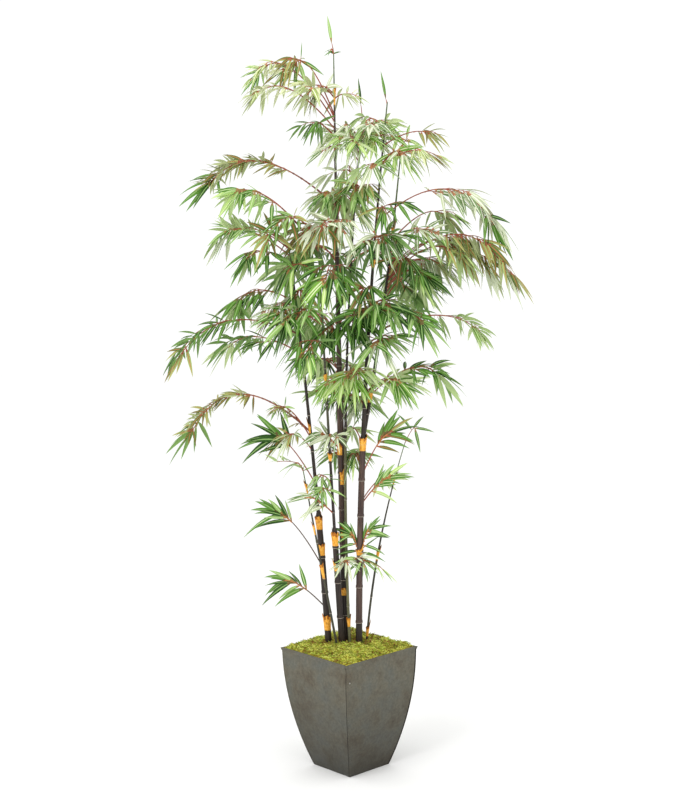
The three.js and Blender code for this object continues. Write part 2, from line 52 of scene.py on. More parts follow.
# Camera: where it stands, and how it looks at the plant
CAMERA_ROUND = 2.5  # degrees round the plant from straight in front
CAMERA_AWAY = 5.0  # metres, as the next two
CAMERA_ASIDE = 0.02
CAMERA_HEIGHT = 1.82
CAMERA_DOWN = 6.83  # degrees, as the next
CAMERA_ROLL = -1.17
CAMERA_LENS = 70.02  # mm, as the next
CAMERA_SENSOR = 36  # the height of the picture on it

# Stage, in metres and watts: each lamp's name, place, size and power
FLOOR_RADIUS = 14
WORLD_LIGHT = 1.06
LAMP_TARGET = (0, 0, 1.2)
LAMPS = (("key", (-2.6, -3.4, 3.6), 2.4, 90), ("fill", (3.2, -2.6, 2.2), 3.0, 25))

# Planter
POT_HEIGHT = 402
POT_RIM_SIDE = 312
POT_FOOT_SIDE = 175
POT_WALL = 2.5
POT_FLOOR = 5
POT_LEVELS = 34
POT_FOLDS = 16  # panel columns between two seams
HEM_HEIGHT = 9  # the folded edge round the rim
HEM_PROUD = 1.1
SEAM_PROUD = 0.9  # folded seam up each corner
SEAM_DEPTH = 1.9  # of the groove beside it
# The sheet on each side of a corner: distances from it, and how far the sheet stands out
SEAM_START = ((0, SEAM_PROUD * 0.7), (1.2, SEAM_PROUD), (2.6, SEAM_PROUD), (3.4, 0.1), (5, 0))
SEAM_END = (
    (8, 0), (4.4, 0), (3.9, -SEAM_DEPTH), (1.6, -SEAM_DEPTH), (1.2, SEAM_PROUD), (0.6, SEAM_PROUD),
)
# The sheet's profile: height over the foot, over the hem's lower edge and over the rim, inset,
# and how much of the seams' relief it has there
FOOT_PROFILE = ((0, 1.2, 0.0), (1.2, 0.3, 0.5))
HEM_PROFILE = ((-0.8, 0.0, 1.0), (0, -HEM_PROUD * 0.8, 1.0), (1.5, -HEM_PROUD, 1.0))
RIM_PROFILE = (
    (-1.2, -HEM_PROUD, 0.8), (-0.3, -0.5, 0.6), (0, 0.4, 0.3), (0, 1.7, 0.0), (-0.6, POT_WALL, 0.0),
)
EAR_REACH = 4.5  # how far the rim's corners are pulled out
EAR_SPAN = 14
DIMPLE_DEPTH = 3.0  # a knock beside the front seam
DIMPLE_HEIGHT = 374
DIMPLE_SPAN = (13, 17)  # along the panel and up it
DENT_DEPTH = 1.3
DENT_SIZE = 95
DENTS_FROM_SEAM = 40  # they fade out nearer than this
DENTS_FROM_RIM = 30
RIVET_RADIUS = 2.6
RIVET_IN = 14  # from the corner
RIVET_DOWN = 61  # from the rim
RIVET_DOME = 0.55  # its height, as a share of its radius

# Moss
MOSS_MOUND = 20
MOSS_SINK = 2
MOSS_CELLS = 64
MOSS_LUMP = 9
MOSS_LUMP_SIZE = 34
MOSS_LUMP_NOISE = (0.8, 2.1, 4)  # roughness of its layers, their spread and their number
MOSS_DEPTH = 60
MOSS_WALL_GAP = 0.3
MOSS_SKIRT_GAP = 6
MOSS_SEED = 501
MOSS_STRANDS = 9000
MOSS_EDGE = 4  # towards a corner: how far inside the wall strands root, and past it end
STRAND_LENGTHS = (8, 20)
STRAND_RADIUS = 1.15
STRAND_SUNK = 1.5
STRAND_RISES = (-5, 50)  # degrees
STRAND_CURL = 0.35  # sideways, as a share of the length
STRAND_SAG = 0.2
MOSS_PATCHES = 0.95
MOSS_PATCH_SIZE = 38
MOSS_HOLLOW = 0.4  # browner round the culms' feet
MOSS_HOLLOW_SIZE = 22
MOSS_DEAL = (0.14, 0.36, 0.66)  # levels between the four tones
MOSS_TONES = {"brown": "#86551f", "olive": "#7c8820", "green": "#a4b935", "pale": "#e2e66e"}

# Culms: as in the frame. Each rises in one shallow bow from its foot to its tip, pulled
# towards "bend". Radii: at the foot, below and above the step, and at the tip. Node: the
# height of the lowest node. Dyes: the cane's colours and the heights from which they show.
# Sheaths: foot, length, the side that its point is on, how many degrees it wraps round, and
# how far its point stands up.
SOCKET_FLOOR = 360
INTERNODE = 118
CULMS = {
    "left": dict(
        foot=(-66, -5), bend=(-95, -14), tip=(-163, -50), bottom=360, top=1730,
        radii=(11, 10, 6, 3.2), step=845, node=586,
        dyes=(("black", 0), ("olive", 1668)),
        sheaths=[(461, 50, 200, 360, 8), (712, 40, 90, 360, 10), (800, 45, 60, 360, 16),
                 (1118, 30, 175, 230, 26), (1366, 28, 150, 360, 10), (1640, 26, 30, 360, 10)],
    ),
    "left_thin": dict(
        foot=(-36, -28), bend=(-86, -42), tip=(-135, -55), bottom=360, top=1012,
        radii=(4.2, 3.8, 3.8, 1.6), step=700, node=524,
        dyes=(("umber", 0), ("olive", 960)),
        sheaths=[(640, 50, 0, 360, 10), (788, 36, 185, 220, 12), (925, 34, 170, 360, 14)],
    ),
    "centre_left": dict(
        foot=(-22, -13), bend=(-50, -45), tip=(-66, -100), bottom=360, top=1755,
        radii=(10, 9.5, 5, 2.6), step=795, node=505,
        dyes=(("black", 0), ("umber", 1100), ("olive", 1380)),
        sheaths=[(664, 24, 190, 360, 18), (740, 55, 150, 360, 10), (1030, 26, 90, 360, 10),
                 (1290, 24, 0, 360, 10)],
    ),
    "centre": dict(
        foot=(-12, 16), bend=(-16, 22), tip=(-10, 14), bottom=360, top=2330,
        radii=(12, 11, 9.5, 1.6), step=1190, node=505,
        dyes=(("black", 0), ("brown", 690), ("olive", 2215)),
        sheaths=[(573, 24, 290, 200, 4), (766, 38, 340, 190, 22), (942, 40, 345, 190, 36),
                 (1040, 34, 195, 190, 24), (1288, 24, 180, 360, 6), (2162, 50, 340, 230, 12)],
    ),
    "centre_thin": dict(
        foot=(4, -9), bend=(-23, -6), tip=(76, 60), bottom=360, top=2134,
        radii=(4.8, 4.5, 4.5, 1.8), step=1200, node=540,
        dyes=(("khaki", 0), ("black", 1100), ("olive", 1975)),
        sheaths=[(472, 32, 20, 360, 12), (1668, 26, 0, 360, 8), (1895, 50, 150, 360, 30)],
    ),
    "right": dict(
        foot=(34, -17), bend=(50, -20), tip=(158, -34), bottom=360, top=2166,
        radii=(11, 10, 7.4, 2), step=1110, node=488,
        dyes=(("black", 0), ("brown", 488), ("black", 1100), ("olive", 2060)),
        sheaths=[(714, 20, 5, 360, 58), (1058, 44, 20, 360, 16), (1648, 26, 170, 360, 12)],
    ),
    "right_fork": dict(
        foot=(61, -20), bend=(150, 40), tip=(198, 78), bottom=1095, top=2030,
        radii=(6.2, 5.5, 5.5, 1.8), step=1400, node=1176,
        dyes=(("black", 0), ("olive", 1760)),
        sheaths=[(1214, 46, 20, 360, 12), (1482, 26, 30, 360, 10), (1744, 30, 40, 360, 30)],
    ),
    "right_thin": dict(
        foot=(57, 24), bend=(87, 42), tip=(196, 72), bottom=360, top=1072,
        radii=(4, 3.6, 3.6, 1.3), step=700, node=560,
        dyes=(("umber", 0), ("olive", 955)),
        sheaths=[(430, 32, 10, 300, 26), (680, 42, 30, 360, 12), (930, 34, 20, 360, 16)],
    ),
}
CANE_DYES = {
    "black": ("#130f0c", "#241b16", "#463730"),
    "brown": ("#1f1513", "#402e28", "#6e564a"),
    "umber": ("#1e1d13", "#37362a", "#5c5a42"),
    "khaki": ("#34331f", "#5a5a3c", "#84835f"),
    "olive": ("#2f3d20", "#516537", "#7d8f55"),
}
# What stands out round a node: depth, height over the node, and half its width
NODE_FORMS = ((1.5, 0, 0.9), (1.3, 4.5, 3), (-0.3, -5, 3))  # the scar's lip, the ridge, the waist
NODE_REACH = 20  # no form is felt further below a node
NODE_GROWTH = 1.2  # the most that the forms grow with a culm thicker than THICK_CULM
NODE_UNDER_TIP = 40  # no node is nearer to the tip
NODE_BLOOM = (-1.2, 0.6)  # the waxy ring round the lip
GROOVE_DEPTH = 0.55  # the flat groove above a node, on each side by turns
GROOVE_START = 8
GROOVE_LENGTH = 80
GROOVE_FADES = (6, 40)  # at its foot and at its top
GROOVE_SIDE = 55
GROOVE_HALF_TURN = 24
NODE_OFFSETS = (-9, -5, -2.4, -1.1, 0, 1.1, 2.6, 4.5, 7, 11, 17)
CULM_STEP = 15
THICK_CULM = 8  # radius
THICK_CULM_SIDES = 20
THIN_CULM_SIDES = 12
CULM_END = 0.55  # radius of the cut tip, as a share of the cane's
CULM_END_LENGTH = 3.0

SHEATH_SHEET = 0.45
SHEATH_EASE = 0.35  # clearance of its foot round the culm
SHEATH_FLARE = 2.6
SHEATH_SPREAD = 0.7  # what its top stands off besides the flare
SHEATH_CRUMPLE = 0.7
SHEATH_CRUMPLE_SIZE = 11
SHEATH_TEAR = 0.16  # depth of the torn edge, as a share of its length
SHEATH_WAVES = 2.4  # size of the circle in the noise that the torn edge follows, as the next
SHEATH_TEETH = 7.0
SHEATH_FOLDS = 1.7
SHEATH_TOOTH = 0.8  # depth of the teeth beside that of the waves
SHEATH_WORN = 0.06  # how much shorter the edge is all round, as a share of its length
SHEATH_BULGE = 0.6  # how much more it is crumpled outwards than inwards
SHEATH_PATCHES = 9  # of brown round the edge
SHEATH_BROWN = -0.12  # level of noise over which the torn edge has gone brown
SHEATH_ROWS = 9
SHEATH_COLUMN = 15  # degrees
SHEATH_TONES = {
    "papery_sheath": ("#9a5c1e", "#eda433", "#fdcd6c"),
    "sheath_lining": ("#6a3c14", "#9a5f22", "#c98a38"),
    "sheath_torn_edge": ("#5e3310", "#a35f1b", "#d8892a"),
}

# Sprays, one for each mass of foliage in the frame. Columns: name, culm, height of the root,
# azimuth, reach, rise to the highest point, height of the tip over the root, bare share of the
# stem, hang of the leaves, their tones on the stem and at its tip, their size, and how many
# companion stems it has. A spray whose tip is its highest point ends in a frond.
SPRAYS = [
    ("top_left_back", "centre", 2110, 175, 250, 190, 150, 0.36, 10, "lime", "green", 0.62, 0),
    ("top_left_front", "centre", 2088, 192, 245, 136, 108, 0.34, 20, "lime", "olive", 0.64, 0),
    ("top_left_dark", "centre", 2062, 218, 92, 45, 38, 0.25, 35, "deep", "deep", 0.66, 0),
    ("top_centre", "centre_thin", 2000, 262, 120, 60, 40, 0.35, 12, "bright", "striped", 0.8, 3),
    ("top_centre_right", "right", 2050, 215, 75, 40, 32, 0.4, 25, "striped", "green", 0.8, 1),
    ("top_right_arm", "right", 2030, 14, 152, 44, 36, 0.5, 35, "olive", "olive", 0.65, 0),
    ("top_right_low", "right", 1970, 338, 165, 42, 28, 0.3, 28, "lime", "olive", 0.7, 0),
    ("upper_left_arch", "centre", 1845, 174, 410, 150, 80, 0.28, -25, "olive", "deep", 1.05, 0),
    ("upper_left_second", "centre_left", 1705, 200, 258, 192, 183, 0.38, 20, "green", "bright", 0.82, 0),
    ("left_upright", "left", 1690, 164, 190, 85, 82, 0.3, -115, "green", "bright", 0.85, 0),
    ("left_hanging", "left", 1660, 210, 148, 48, 28, 0.28, 55, "deep", "green", 0.85, 0),
    ("left_middle", "left", 1538, 172, 190, 45, 5, 0.28, 60, "deep", "bright", 0.95, 0),
    ("left_long", "left", 1438, 188, 385, 54, -58, 0.28, 5, "deep", "olive", 0.74, 0),
    ("left_lower_row", "left", 1374, 160, 265, 56, 20, 0.2, 20, "deep", "bright", 0.85, 0),
    ("long_left_arch", "left", 1122, 183, 385, 128, 5, 0.36, -15, "olive", "deep", 0.85, 0),
    ("left_fan", "left", 950, 192, 128, 160, 160, 0.5, -30, "deep", "deep", 1.1, 0),
    ("left_low_fan", "left", 672, 184, 145, 182, 182, 0.5, -45, "deep", "green", 1.0, 0),
    ("lowest_left_fan", "left", 535, 176, 130, 92, 92, 0.5, -8, "deep", "green", 0.95, 0),
    ("pale_middle", "centre", 1050, 235, 106, 72, 72, 0.35, 0, "striped", "striped", 0.85, 1),
    ("pale_low", "centre_left", 855, 215, 95, 65, 65, 0.4, 5, "striped", "striped", 0.8, 0),
    ("centre_star", "centre_thin", 1290, 285, 100, 30, 10, 0.3, 42, "bright", "bright", 0.95, 2),
    ("centre_dark", "centre", 1460, 300, 110, 35, 0, 0.3, 58, "deep", "deep", 1.0, 2),
    ("right_low_fan", "right", 700, 338, 34, 100, 100, 0.4, -10, "green", "deep", 0.74, 0),
    ("right_mid_low", "right", 880, 15, 100, 85, 85, 0.45, -30, "green", "bright", 0.85, 1),
    ("right_mid", "right", 975, 350, 95, 140, 140, 0.5, -30, "deep", "olive", 0.9, 0),
    ("right_bough", "right_fork", 1236, 352, 228, 92, 60, 0.26, 5, "deep", "green", 0.9, 0),
    ("right_inner", "right_fork", 1455, 315, 178, 55, 30, 0.28, 45, "deep", "green", 1.0, 0),
    ("right_long", "right_fork", 1445, 13, 330, 42, -15, 0.42, 45, "green", "bright", 0.72, 0),
    ("right_arch_middle", "right_fork", 1622, 352, 392, 126, -10, 0.28, 88, "olive", "striped", 0.9, 1),
    ("right_upper_second", "right_fork", 1730, 25, 195, 92, 75, 0.55, 40, "green", "olive", 0.85, 0),
    ("right_upper_arch", "right", 1790, 5, 375, 102, -15, 0.32, 60, "striped", "deep", 1.0, 0),
    ("centre_pale", "centre", 1750, 256, 170, 50, 20, 0.3, 16, "striped", "olive", 0.9, 2),
    ("centre_front", "centre", 1610, 262, 200, 50, -10, 0.3, 30, "deep", "bright", 1.0, 1),
    ("centre_left_low", "centre_left", 1480, 215, 140, 45, 10, 0.3, 30, "green", "deep", 1.0, 2),
    ("centre_low_front", "centre_left", 1385, 255, 170, 45, 0, 0.3, 52, "deep", "bright", 0.9, 0),
    ("back_low", "centre", 1400, 112, 290, 90, 20, 0.28, 45, "green", "deep", 0.95, 1),
    ("back_middle", "centre", 1600, 52, 290, 100, 20, 0.28, 45, "deep", "bright", 0.95, 0),
    ("back_upper", "centre", 1790, 80, 260, 100, 40, 0.28, 40, "green", "olive", 0.95, 1),
    ("back_right", "right_fork", 1540, 55, 220, 70, 10, 0.28, 45, "deep", "green", 0.95, 1),
    ("back_left", "left", 1590, 100, 210, 70, 20, 0.28, 42, "green", "deep", 0.95, 0),
]

# Sprays that stand on a culm's tip: name, culm, azimuth, reach, height, hang, tone, and how
# far each leaf is turned out
TIPS = [
    ("centre_tip", "centre", 190, 6, 34, -80, "green", (0,)),
    ("centre_thin_tip", "centre_thin", 175, 4, 38, -83, "deep", (0,)),
    ("right_tip", "right", 175, 4, 16, -78, "deep", (0,)),
    ("right_fork_tip", "right_fork", 20, 24, 34, 15, "bright", (-70, 0, 80, 170, 35, -120, -30, 125)),
    ("right_thin_tip", "right_thin", 15, 36, 52, -30, "green", (-110, -40, 20, 90)),
]

# Short sprays between the long ones, in the same columns
INNER_SPRAYS = [
    ("inner_1", "centre", 2120, 205, 90, 92, 76, 0.4, 20, "lime", "olive", 0.8, 0),
    ("inner_2", "centre", 2185, 165, 62, 34, 20, 0.3, 20, "lime", "striped", 0.75, 1),
    ("inner_3", "centre", 2182, 350, 42, 14, 8, 0.4, 0, "lime", "olive", 0.48, 0),
    ("inner_4", "centre_thin", 2045, 200, 62, 45, 40, 0.3, 20, "striped", "bright", 0.85, 1),
    ("inner_5", "centre_thin", 2060, 345, 72, 50, 44, 0.3, 20, "bright", "striped", 0.85, 1),
    ("inner_6", "right", 2085, 195, 60, 30, 22, 0.3, 25, "green", "striped", 0.7, 0),
    ("inner_7", "right", 1960, 335, 70, 50, 40, 0.3, 15, "striped", "bright", 0.85, 1),
    ("inner_8", "centre_thin", 1850, 275, 92, 56, 46, 0.3, 8, "olive", "green", 0.95, 2),
    ("inner_9", "centre", 1835, 235, 55, 56, 44, 0.3, 10, "striped", "green", 0.78, 0),
    ("inner_10", "left", 1712, 182, 205, 70, 40, 0.3, 40, "green", "striped", 0.75, 0),
    ("inner_11", "left", 1705, 236, 110, 60, 40, 0.3, 8, "green", "olive", 0.75, 0),
    ("inner_12", "centre_left", 1620, 186, 100, 46, 24, 0.3, 35, "deep", "bright", 0.95, 0),
    ("inner_13", "right_fork", 1575, 345, 130, 60, 30, 0.3, 18, "deep", "bright", 0.95, 1),
    ("inner_14", "right_fork", 1600, 20, 190, 70, 40, 0.3, 35, "striped", "olive", 0.85, 1),
    ("inner_15", "right_fork", 1690, 330, 130, 80, 66, 0.3, 30, "striped", "bright", 0.85, 0),
    ("inner_16", "left", 1500, 205, 92, 40, 14, 0.3, 35, "striped", "olive", 0.85, 1),
    ("inner_17", "right", 1500, 300, 110, 46, 18, 0.3, 18, "green", "deep", 0.95, 2),
    ("inner_18", "right", 1235, 345, 112, 56, 40, 0.3, 20, "bright", "green", 0.9, 1),
    ("inner_19", "right", 1190, 110, 75, 40, 20, 0.3, 25, "bright", "striped", 0.85, 1),
    ("inner_20", "centre_left", 905, 225, 50, 40, 32, 0.3, 10, "green", "green", 0.6, 0),
    ("inner_21", "right", 1000, 130, 60, 44, 34, 0.3, 15, "green", "bright", 0.8, 0),
    ("inner_22", "left", 1060, 200, 84, 60, 48, 0.3, 20, "olive", "striped", 0.8, 0),
    ("inner_23", "centre", 980, 95, 80, 60, 50, 0.3, 15, "green", "deep", 0.8, 1),
    ("inner_24", "right", 700, 200, 22, 82, 82, 0.3, -10, "green", "deep", 0.8, 0),
    ("inner_25", "centre", 1300, 110, 120, 50, 30, 0.3, 22, "deep", "bright", 0.95, 3),
    ("inner_26", "centre", 1660, 130, 150, 60, 30, 0.3, 20, "green", "deep", 0.95, 3),
    ("inner_27", "centre", 655, 285, 60, 45, 38, 0.3, -10, "striped", "striped", 0.6, 0),
    ("inner_28", "left_thin", 1000, 160, 24, 26, 24, 0.5, -60, "green", "green", 0.55, 0),
    ("inner_29", "right_fork", 1640, 355, 230, 90, 50, 0.4, 30, "bright", "olive", 0.85, 0),
    ("inner_30", "right", 1700, 280, 100, 50, 30, 0.3, 4, "deep", "striped", 0.9, 3),
    ("inner_31", "right", 1385, 300, 90, 40, 20, 0.3, 20, "green", "striped", 0.95, 1),
    ("inner_32", "right", 1075, 120, 84, 50, 40, 0.3, 0, "green", "bright", 0.85, 0),
    ("inner_33", "centre", 2130, 170, 128, 176, 166, 0.6, 10, "olive", "green", 0.85, 0),
    ("inner_34", "centre", 2322, 180, 8, 16, 14, 0.5, -110, "deep", "deep", 0.28, 0),
    ("inner_35", "left", 1100, 186, 110, 107, 100, 0.12, 0, "olive", "green", 0.5, 0),
    ("inner_36", "centre_left", 1735, 195, 105, 80, 66, 0.3, 10, "green", "olive", 0.8, 0),
    ("inner_37", "right", 1800, 300, 60, 40, 28, 0.3, 30, "deep", "olive", 0.85, 0),
    ("inner_38", "centre_thin", 1915, 225, 62, 45, 30, 0.3, 30, "striped", "bright", 0.8, 0),
    ("inner_39", "left", 1545, 290, 60, 42, 26, 0.3, 35, "deep", "olive", 0.85, 0),
    ("inner_40", "centre", 1205, 95, 90, 40, 22, 0.3, 30, "green", "deep", 0.85, 3),
    ("inner_41", "right_fork", 1640, 330, 70, 42, 30, 0.3, 25, "deep", "olive", 0.85, 0),
    ("inner_42", "right", 1000, 115, 60, 50, 42, 0.3, 15, "green", "deep", 0.8, 1),
    ("inner_43", "centre_left", 955, 205, 42, 30, 26, 0.3, 10, "green", "green", 0.55, 0),
    ("inner_44", "right", 1930, 248, 64, 45, 34, 0.3, 30, "green", "striped", 0.85, 0),
    ("inner_45", "right", 1222, 80, 56, 34, 18, 0.3, 35, "deep", "green", 0.85, 1),
    ("inner_46", "right", 1545, 250, 70, 42, 28, 0.3, 30, "deep", "olive", 0.9, 0),
    ("inner_47", "right", 690, 300, 32, 12, -8, 0.3, 60, "bright", "green", 0.6, 0),
    ("inner_48", "right_fork", 1600, 350, 250, 110, 60, 0.45, 35, "olive", "green", 0.8, 0),
]
# The sprays whose bare stem is a bough of its own
BOUGHS = ("upper_left_arch", "upper_left_second", "left_long", "long_left_arch", "right_long")

ARCH_STEPS = 40  # in which its length is measured
ARCH_EASE = 0.3  # how much faster a stem goes outwards near its root than at its tip
# Companion stems: turn from the spray's own, rise of the root, and size
COMPANIONS = ((15, 9, 0.84), (-40, -12, 0.82), (46, 14, 0.76))
COMPANION_HANG = 6  # how much more than the spray's own, as the next
COMPANION_BARE = 0.08
COMPANION_LEAF = 0.9
COMPANION_STEM = 0.8
COMPANION_UNDER_TIP = 30  # the least height of the culm's tip over its root
COMPANION_SEEDS = (101, 50)  # of the first companions, and the step to the next ones
MOST_BARE = 0.6
STEM_RADII = (2.4, 1.4)
STEM_POINTS = 22
GREY_BELOW = 700  # the sprays rooted lower have grey-brown stems
BOUGH_RADII = (3.3, 2.2)
BOUGH_ROWS = 70
BOUGH_SIDES = 10
BOUGH_NODE = 26
BOUGH_SWELL = 0.8  # of a joint
BOUGH_SWELL_HALF = 2.2
BOUGH_KNOB = 0.3
BOUGH_KNOB_SIZE = 6
TWIG_SPACING = 37
TWIG_LENGTH = 62
TWIG_SIZES = (0.8, 1.2)
TWIG_TAPER = 0.4  # how much shorter the twigs near the tip are
TWIG_TURNS = (24, 50)
TWIG_PITCH = 0.5  # how far a twig keeps the slope of its stem
TWIG_SAG = 12
TWIG_RADII = (1.5, 0.9)
TWIG_BOW = 4
TWIG_POINTS = (0, 0.35, 0.7, 1)
# Leaves of a twig: their places along it, and how far they are turned out
TWIG_LEAVES = ((0.3, 46), (0.48, -42), (0.65, 36), (0.81, -32), (0.94, 18), (1.0, -6))
# Leaves of a stem's end: how far they are turned out, on a long spray and on a short one
STEM_FAN = (0, 20, -22, 40, -43, 62, -60)
WIDE_FAN = (0, 25, -27, 52, -54, 82, -80, 120, -124)
SHORT_REACH = 135
FAN_START = 3
FAN_STAGGER = 6
FAN_LEAF = 1.15
COLLAR_PLACE = 0.97  # of a stem's last collar
COLLAR_RADII = (1.0, 2.3, 2.5, 1.7, 0.9)
COLLAR_SIDES = 6
COLLAR_LENGTH = 9
COLLAR_BACK = 1.5
TIP_SINK = 8
TIP_LEAF = 0.92
TIP_POINTS = 6
TIP_SPACING = 0.12  # of its leaves, as a share of the stem
TIP_LOWEST = 0.1

# Leaves: printed cloth, folded a little along the midrib
LEAF_LENGTH = 101
LEAF_WIDTH = 15.4
LEAF_SIZES = (0.72, 1.14)
LEAF_DROOPS = (16, 44)  # how far a level leaf's point hangs down
LEAF_CURL = 0.07
STALK_HALF = 0.07  # half the width of the stalk, as a share of the leaf's, as the next
POINT_HALF = 0.035
LEAF_BELLY = 0.66  # under 1 the widest place is nearer to the stalk
LEAF_FULLNESS = 0.9
LEAF_STRAY = 44
TIP_STRAY = 6
LEAF_STEPS = 7
LEAF_STEP_EASE = 0.9  # under 1 the steps near the stalk are longer
LEAF_PROBES = (0.35, 0.65, 1)  # the places along a leaf that have to be clear of the culms
LEAF_STRIPE = 0.22  # share of the half width that the midrib's stripe takes up
LEAF_FOLD = 0.32  # how far the edges hang below the midrib, as a share of the half width
LEAF_SHEET = 0.035  # thickness, as a share of the width
LEAF_STALK = 0.06
HALF_HANG = 75  # the spray's own hang that bends a level leaf down by about 27 degrees
LEAF_FOLLOW = (0.4, 0.95)  # how far the leaves keep the slope of a rising and of a falling twig
LEAF_LEAN = (-62, 62)  # tilt of the plane in which the leaves of a twig stand
LEAF_NOD = (-24, 20)
LEAF_ROLL = 95
TIP_ROLL = 222  # turns the top of a culm's last leaf to the viewer
TIP_LEAN = 60
FAN_FOLLOW = 0.75  # how far the leaves of a stem's end keep its slope
FROND_LEAN = 78  # the sprays that only rise end in a frond, nearly upright
FROND_FOLLOW = 0.6
FROND_LEAVES = 12
FROND_LEAF = 1.1
FROND_START = 2  # from the tip, as the next
FROND_STEP = 8.5
FROND_TURNS = (10, 44)  # from its tip to its root
CLOSE_ARCHES = ("upper_left_arch", "long_left_arch", "inner_35")
CLOSENESS = 0.55  # their twigs' length and spacing, as a share of the others'
CLOSE_LEAF = 0.66
LEAF_TRIES = 4
LIMB_CLEARANCE = 3

# Kinds of a leaf's faces, and the colours of each tone in the same order
BLADE, MIDRIB, UNDERSIDE, STALK, LIGHT_BLADE = range(5)
LEAF_PARTS = ("blade", "midrib", "underside", "stalk", "blade_light")
DARK_SHARE = 0.5  # of the leaves; the others have the lighter blade
TONES = {
    "deep": ("#2a4f17", "#88aa64", "#759852", "#6b5a33", "#54822b"),
    "green": ("#4e7e2b", "#bcd096", "#a6bc80", "#9a7a48", "#8fb463"),
    "bright": ("#74a43d", "#dae6b2", "#c6d7a0", "#b8905c", "#b6d47b"),
    "olive": ("#5f7235", "#b0714a", "#b2bd8b", "#a05a40", "#a0b069"),
    "lime": ("#a4b868", "#f2f4d8", "#dae0bc", "#c98a62", "#d6e0a4"),
    "striped": ("#7a9660", "#fafae8", "#d3dbbe", "#b07a58", "#c2cea8"),
}


def linear(colour):
    """The linear red, green, blue and alpha of an sRGB hex colour."""
    parts = [int(colour[i : i + 2], 16) / 255 for i in (1, 3, 5)]
    return (*[c / 12.92 if c <= 0.04045 else ((c + 0.055) / 1.055) ** 2.4 for c in parts], 1.0)


def per_mm(size):
    """The scale that gives a texture features of that size in millimetres."""
    return 1000 / size


def add_node(tree, kind, settings, links=()):
    """Adds a node with its properties, its inputs' values and the links into it. The stops of
    a colour ramp are pairs of position and hex colour."""
    node = tree.nodes.new(kind)
    for name, value in settings.items():
        if name == "stops":
            ramp = node.color_ramp.elements
            while len(ramp) < len(value):
                ramp.new(0.5)
            for stop, (position, colour) in zip(ramp, value):
                stop.position = position
                stop.color = linear(colour)
        elif isinstance(name, int) or name in node.inputs:
            node.inputs[name].default_value = value
        else:
            setattr(node, name, value)
    for name, source in links:
        tree.links.new(source, node.inputs[name])
    return node


def new_material(name, settings):
    """A material with one shader, and that shader and its node tree."""
    material = bpy.data.materials.new(name)
    material.use_nodes = True
    tree = material.node_tree
    tree.nodes.clear()
    shader = add_node(tree, "ShaderNodeBsdfPrincipled", settings)
    add_node(tree, "ShaderNodeOutputMaterial", {}, [("Surface", shader.outputs["BSDF"])])
    return material, tree, shader


def make_patinated_steel():
    """Steel sheet with a dull grey patina: cloudy brown over warm grey, with finer mottling, and
    darker towards the foot, partly its own tone and partly painted shade from the floor. That gives the
    eye a worn, matt metal."""
    material, tree, shader = new_material("patinated_steel", {"Metallic": 0.35})
    place = add_node(tree, "ShaderNodeTexCoord", {}).outputs["Object"]
    clouds = add_node(
        tree, "ShaderNodeTexNoise", {"Scale": per_mm(85), "Detail": 5.0, "Roughness": 0.6},
        [("Vector", place)],
    )
    base = add_node(
        tree, "ShaderNodeValToRGB", {"stops": [(0.32, "#60625b"), (0.5, "#6b685b"), (0.68, "#645c4d")]},
        [("Fac", clouds.outputs["Fac"])],
    )
    stains = add_node(
        tree, "ShaderNodeTexNoise", {"Scale": per_mm(26), "Detail": 5.0, "Roughness": 0.65},
        [("Vector", place)],
    )
    stain_share = add_node(
        tree, "ShaderNodeMapRange", {"From Min": 0.46, "From Max": 0.8, "To Max": 0.45},
        [("Value", stains.outputs["Fac"])],
    )
    blotched = add_node(
        tree, "ShaderNodeMix", {"data_type": "RGBA", 7: linear("#4c4439")},
        [(0, stain_share.outputs["Result"]), (6, base.outputs["Color"])],
    )
    mottle = add_node(
        tree, "ShaderNodeTexNoise", {"Scale": per_mm(9), "Detail": 4.0, "Roughness": 0.75},
        [("Vector", place)],
    )
    speckle = add_node(
        tree, "ShaderNodeValToRGB", {"stops": [(0.3, "#70706c"), (0.7, "#bcbcb6")]},
        [("Fac", mottle.outputs["Fac"])],
    )
    coat = add_node(
        tree, "ShaderNodeMix", {"data_type": "RGBA", "blend_type": "OVERLAY", 0: 0.6},
        [(6, blotched.outputs[2]), (7, speckle.outputs["Color"])],
    )
    height = add_node(tree, "ShaderNodeSeparateXYZ", {}, [("Vector", place)])
    # Darker towards the foot: partly the sheet's own tone, partly painted shade where the floor shuts
    # out light
    foot = add_node(
        tree, "ShaderNodeMapRange", {"From Max": 0.33, "To Min": 0.4, "To Max": 0.98},
        [("Value", height.outputs["Z"])],
    )
    shade = add_node(
        tree, "ShaderNodeCombineXYZ", {},
        [(axis, foot.outputs["Result"]) for axis in ("X", "Y", "Z")],
    )
    foot_tone_and_shade = add_node(
        tree, "ShaderNodeMix", {"data_type": "RGBA", "blend_type": "MULTIPLY", 0: 1.0},
        [(6, coat.outputs[2]), (7, shade.outputs["Vector"])],
    )
    rubbed = add_node(
        tree, "ShaderNodeMapRange", {"From Min": 0.3, "From Max": 0.7, "To Min": 0.42, "To Max": 0.66},
        [("Value", clouds.outputs["Fac"])],
    )
    bump = add_node(
        tree, "ShaderNodeBump", {"Strength": 0.35, "Distance": 0.25 * MM},
        [("Height", mottle.outputs["Fac"])],
    )
    tree.links.new(foot_tone_and_shade.outputs[2], shader.inputs["Base Color"])
    tree.links.new(rubbed.outputs["Result"], shader.inputs["Roughness"])
    tree.links.new(bump.outputs["Normal"], shader.inputs["Normal"])
    return material


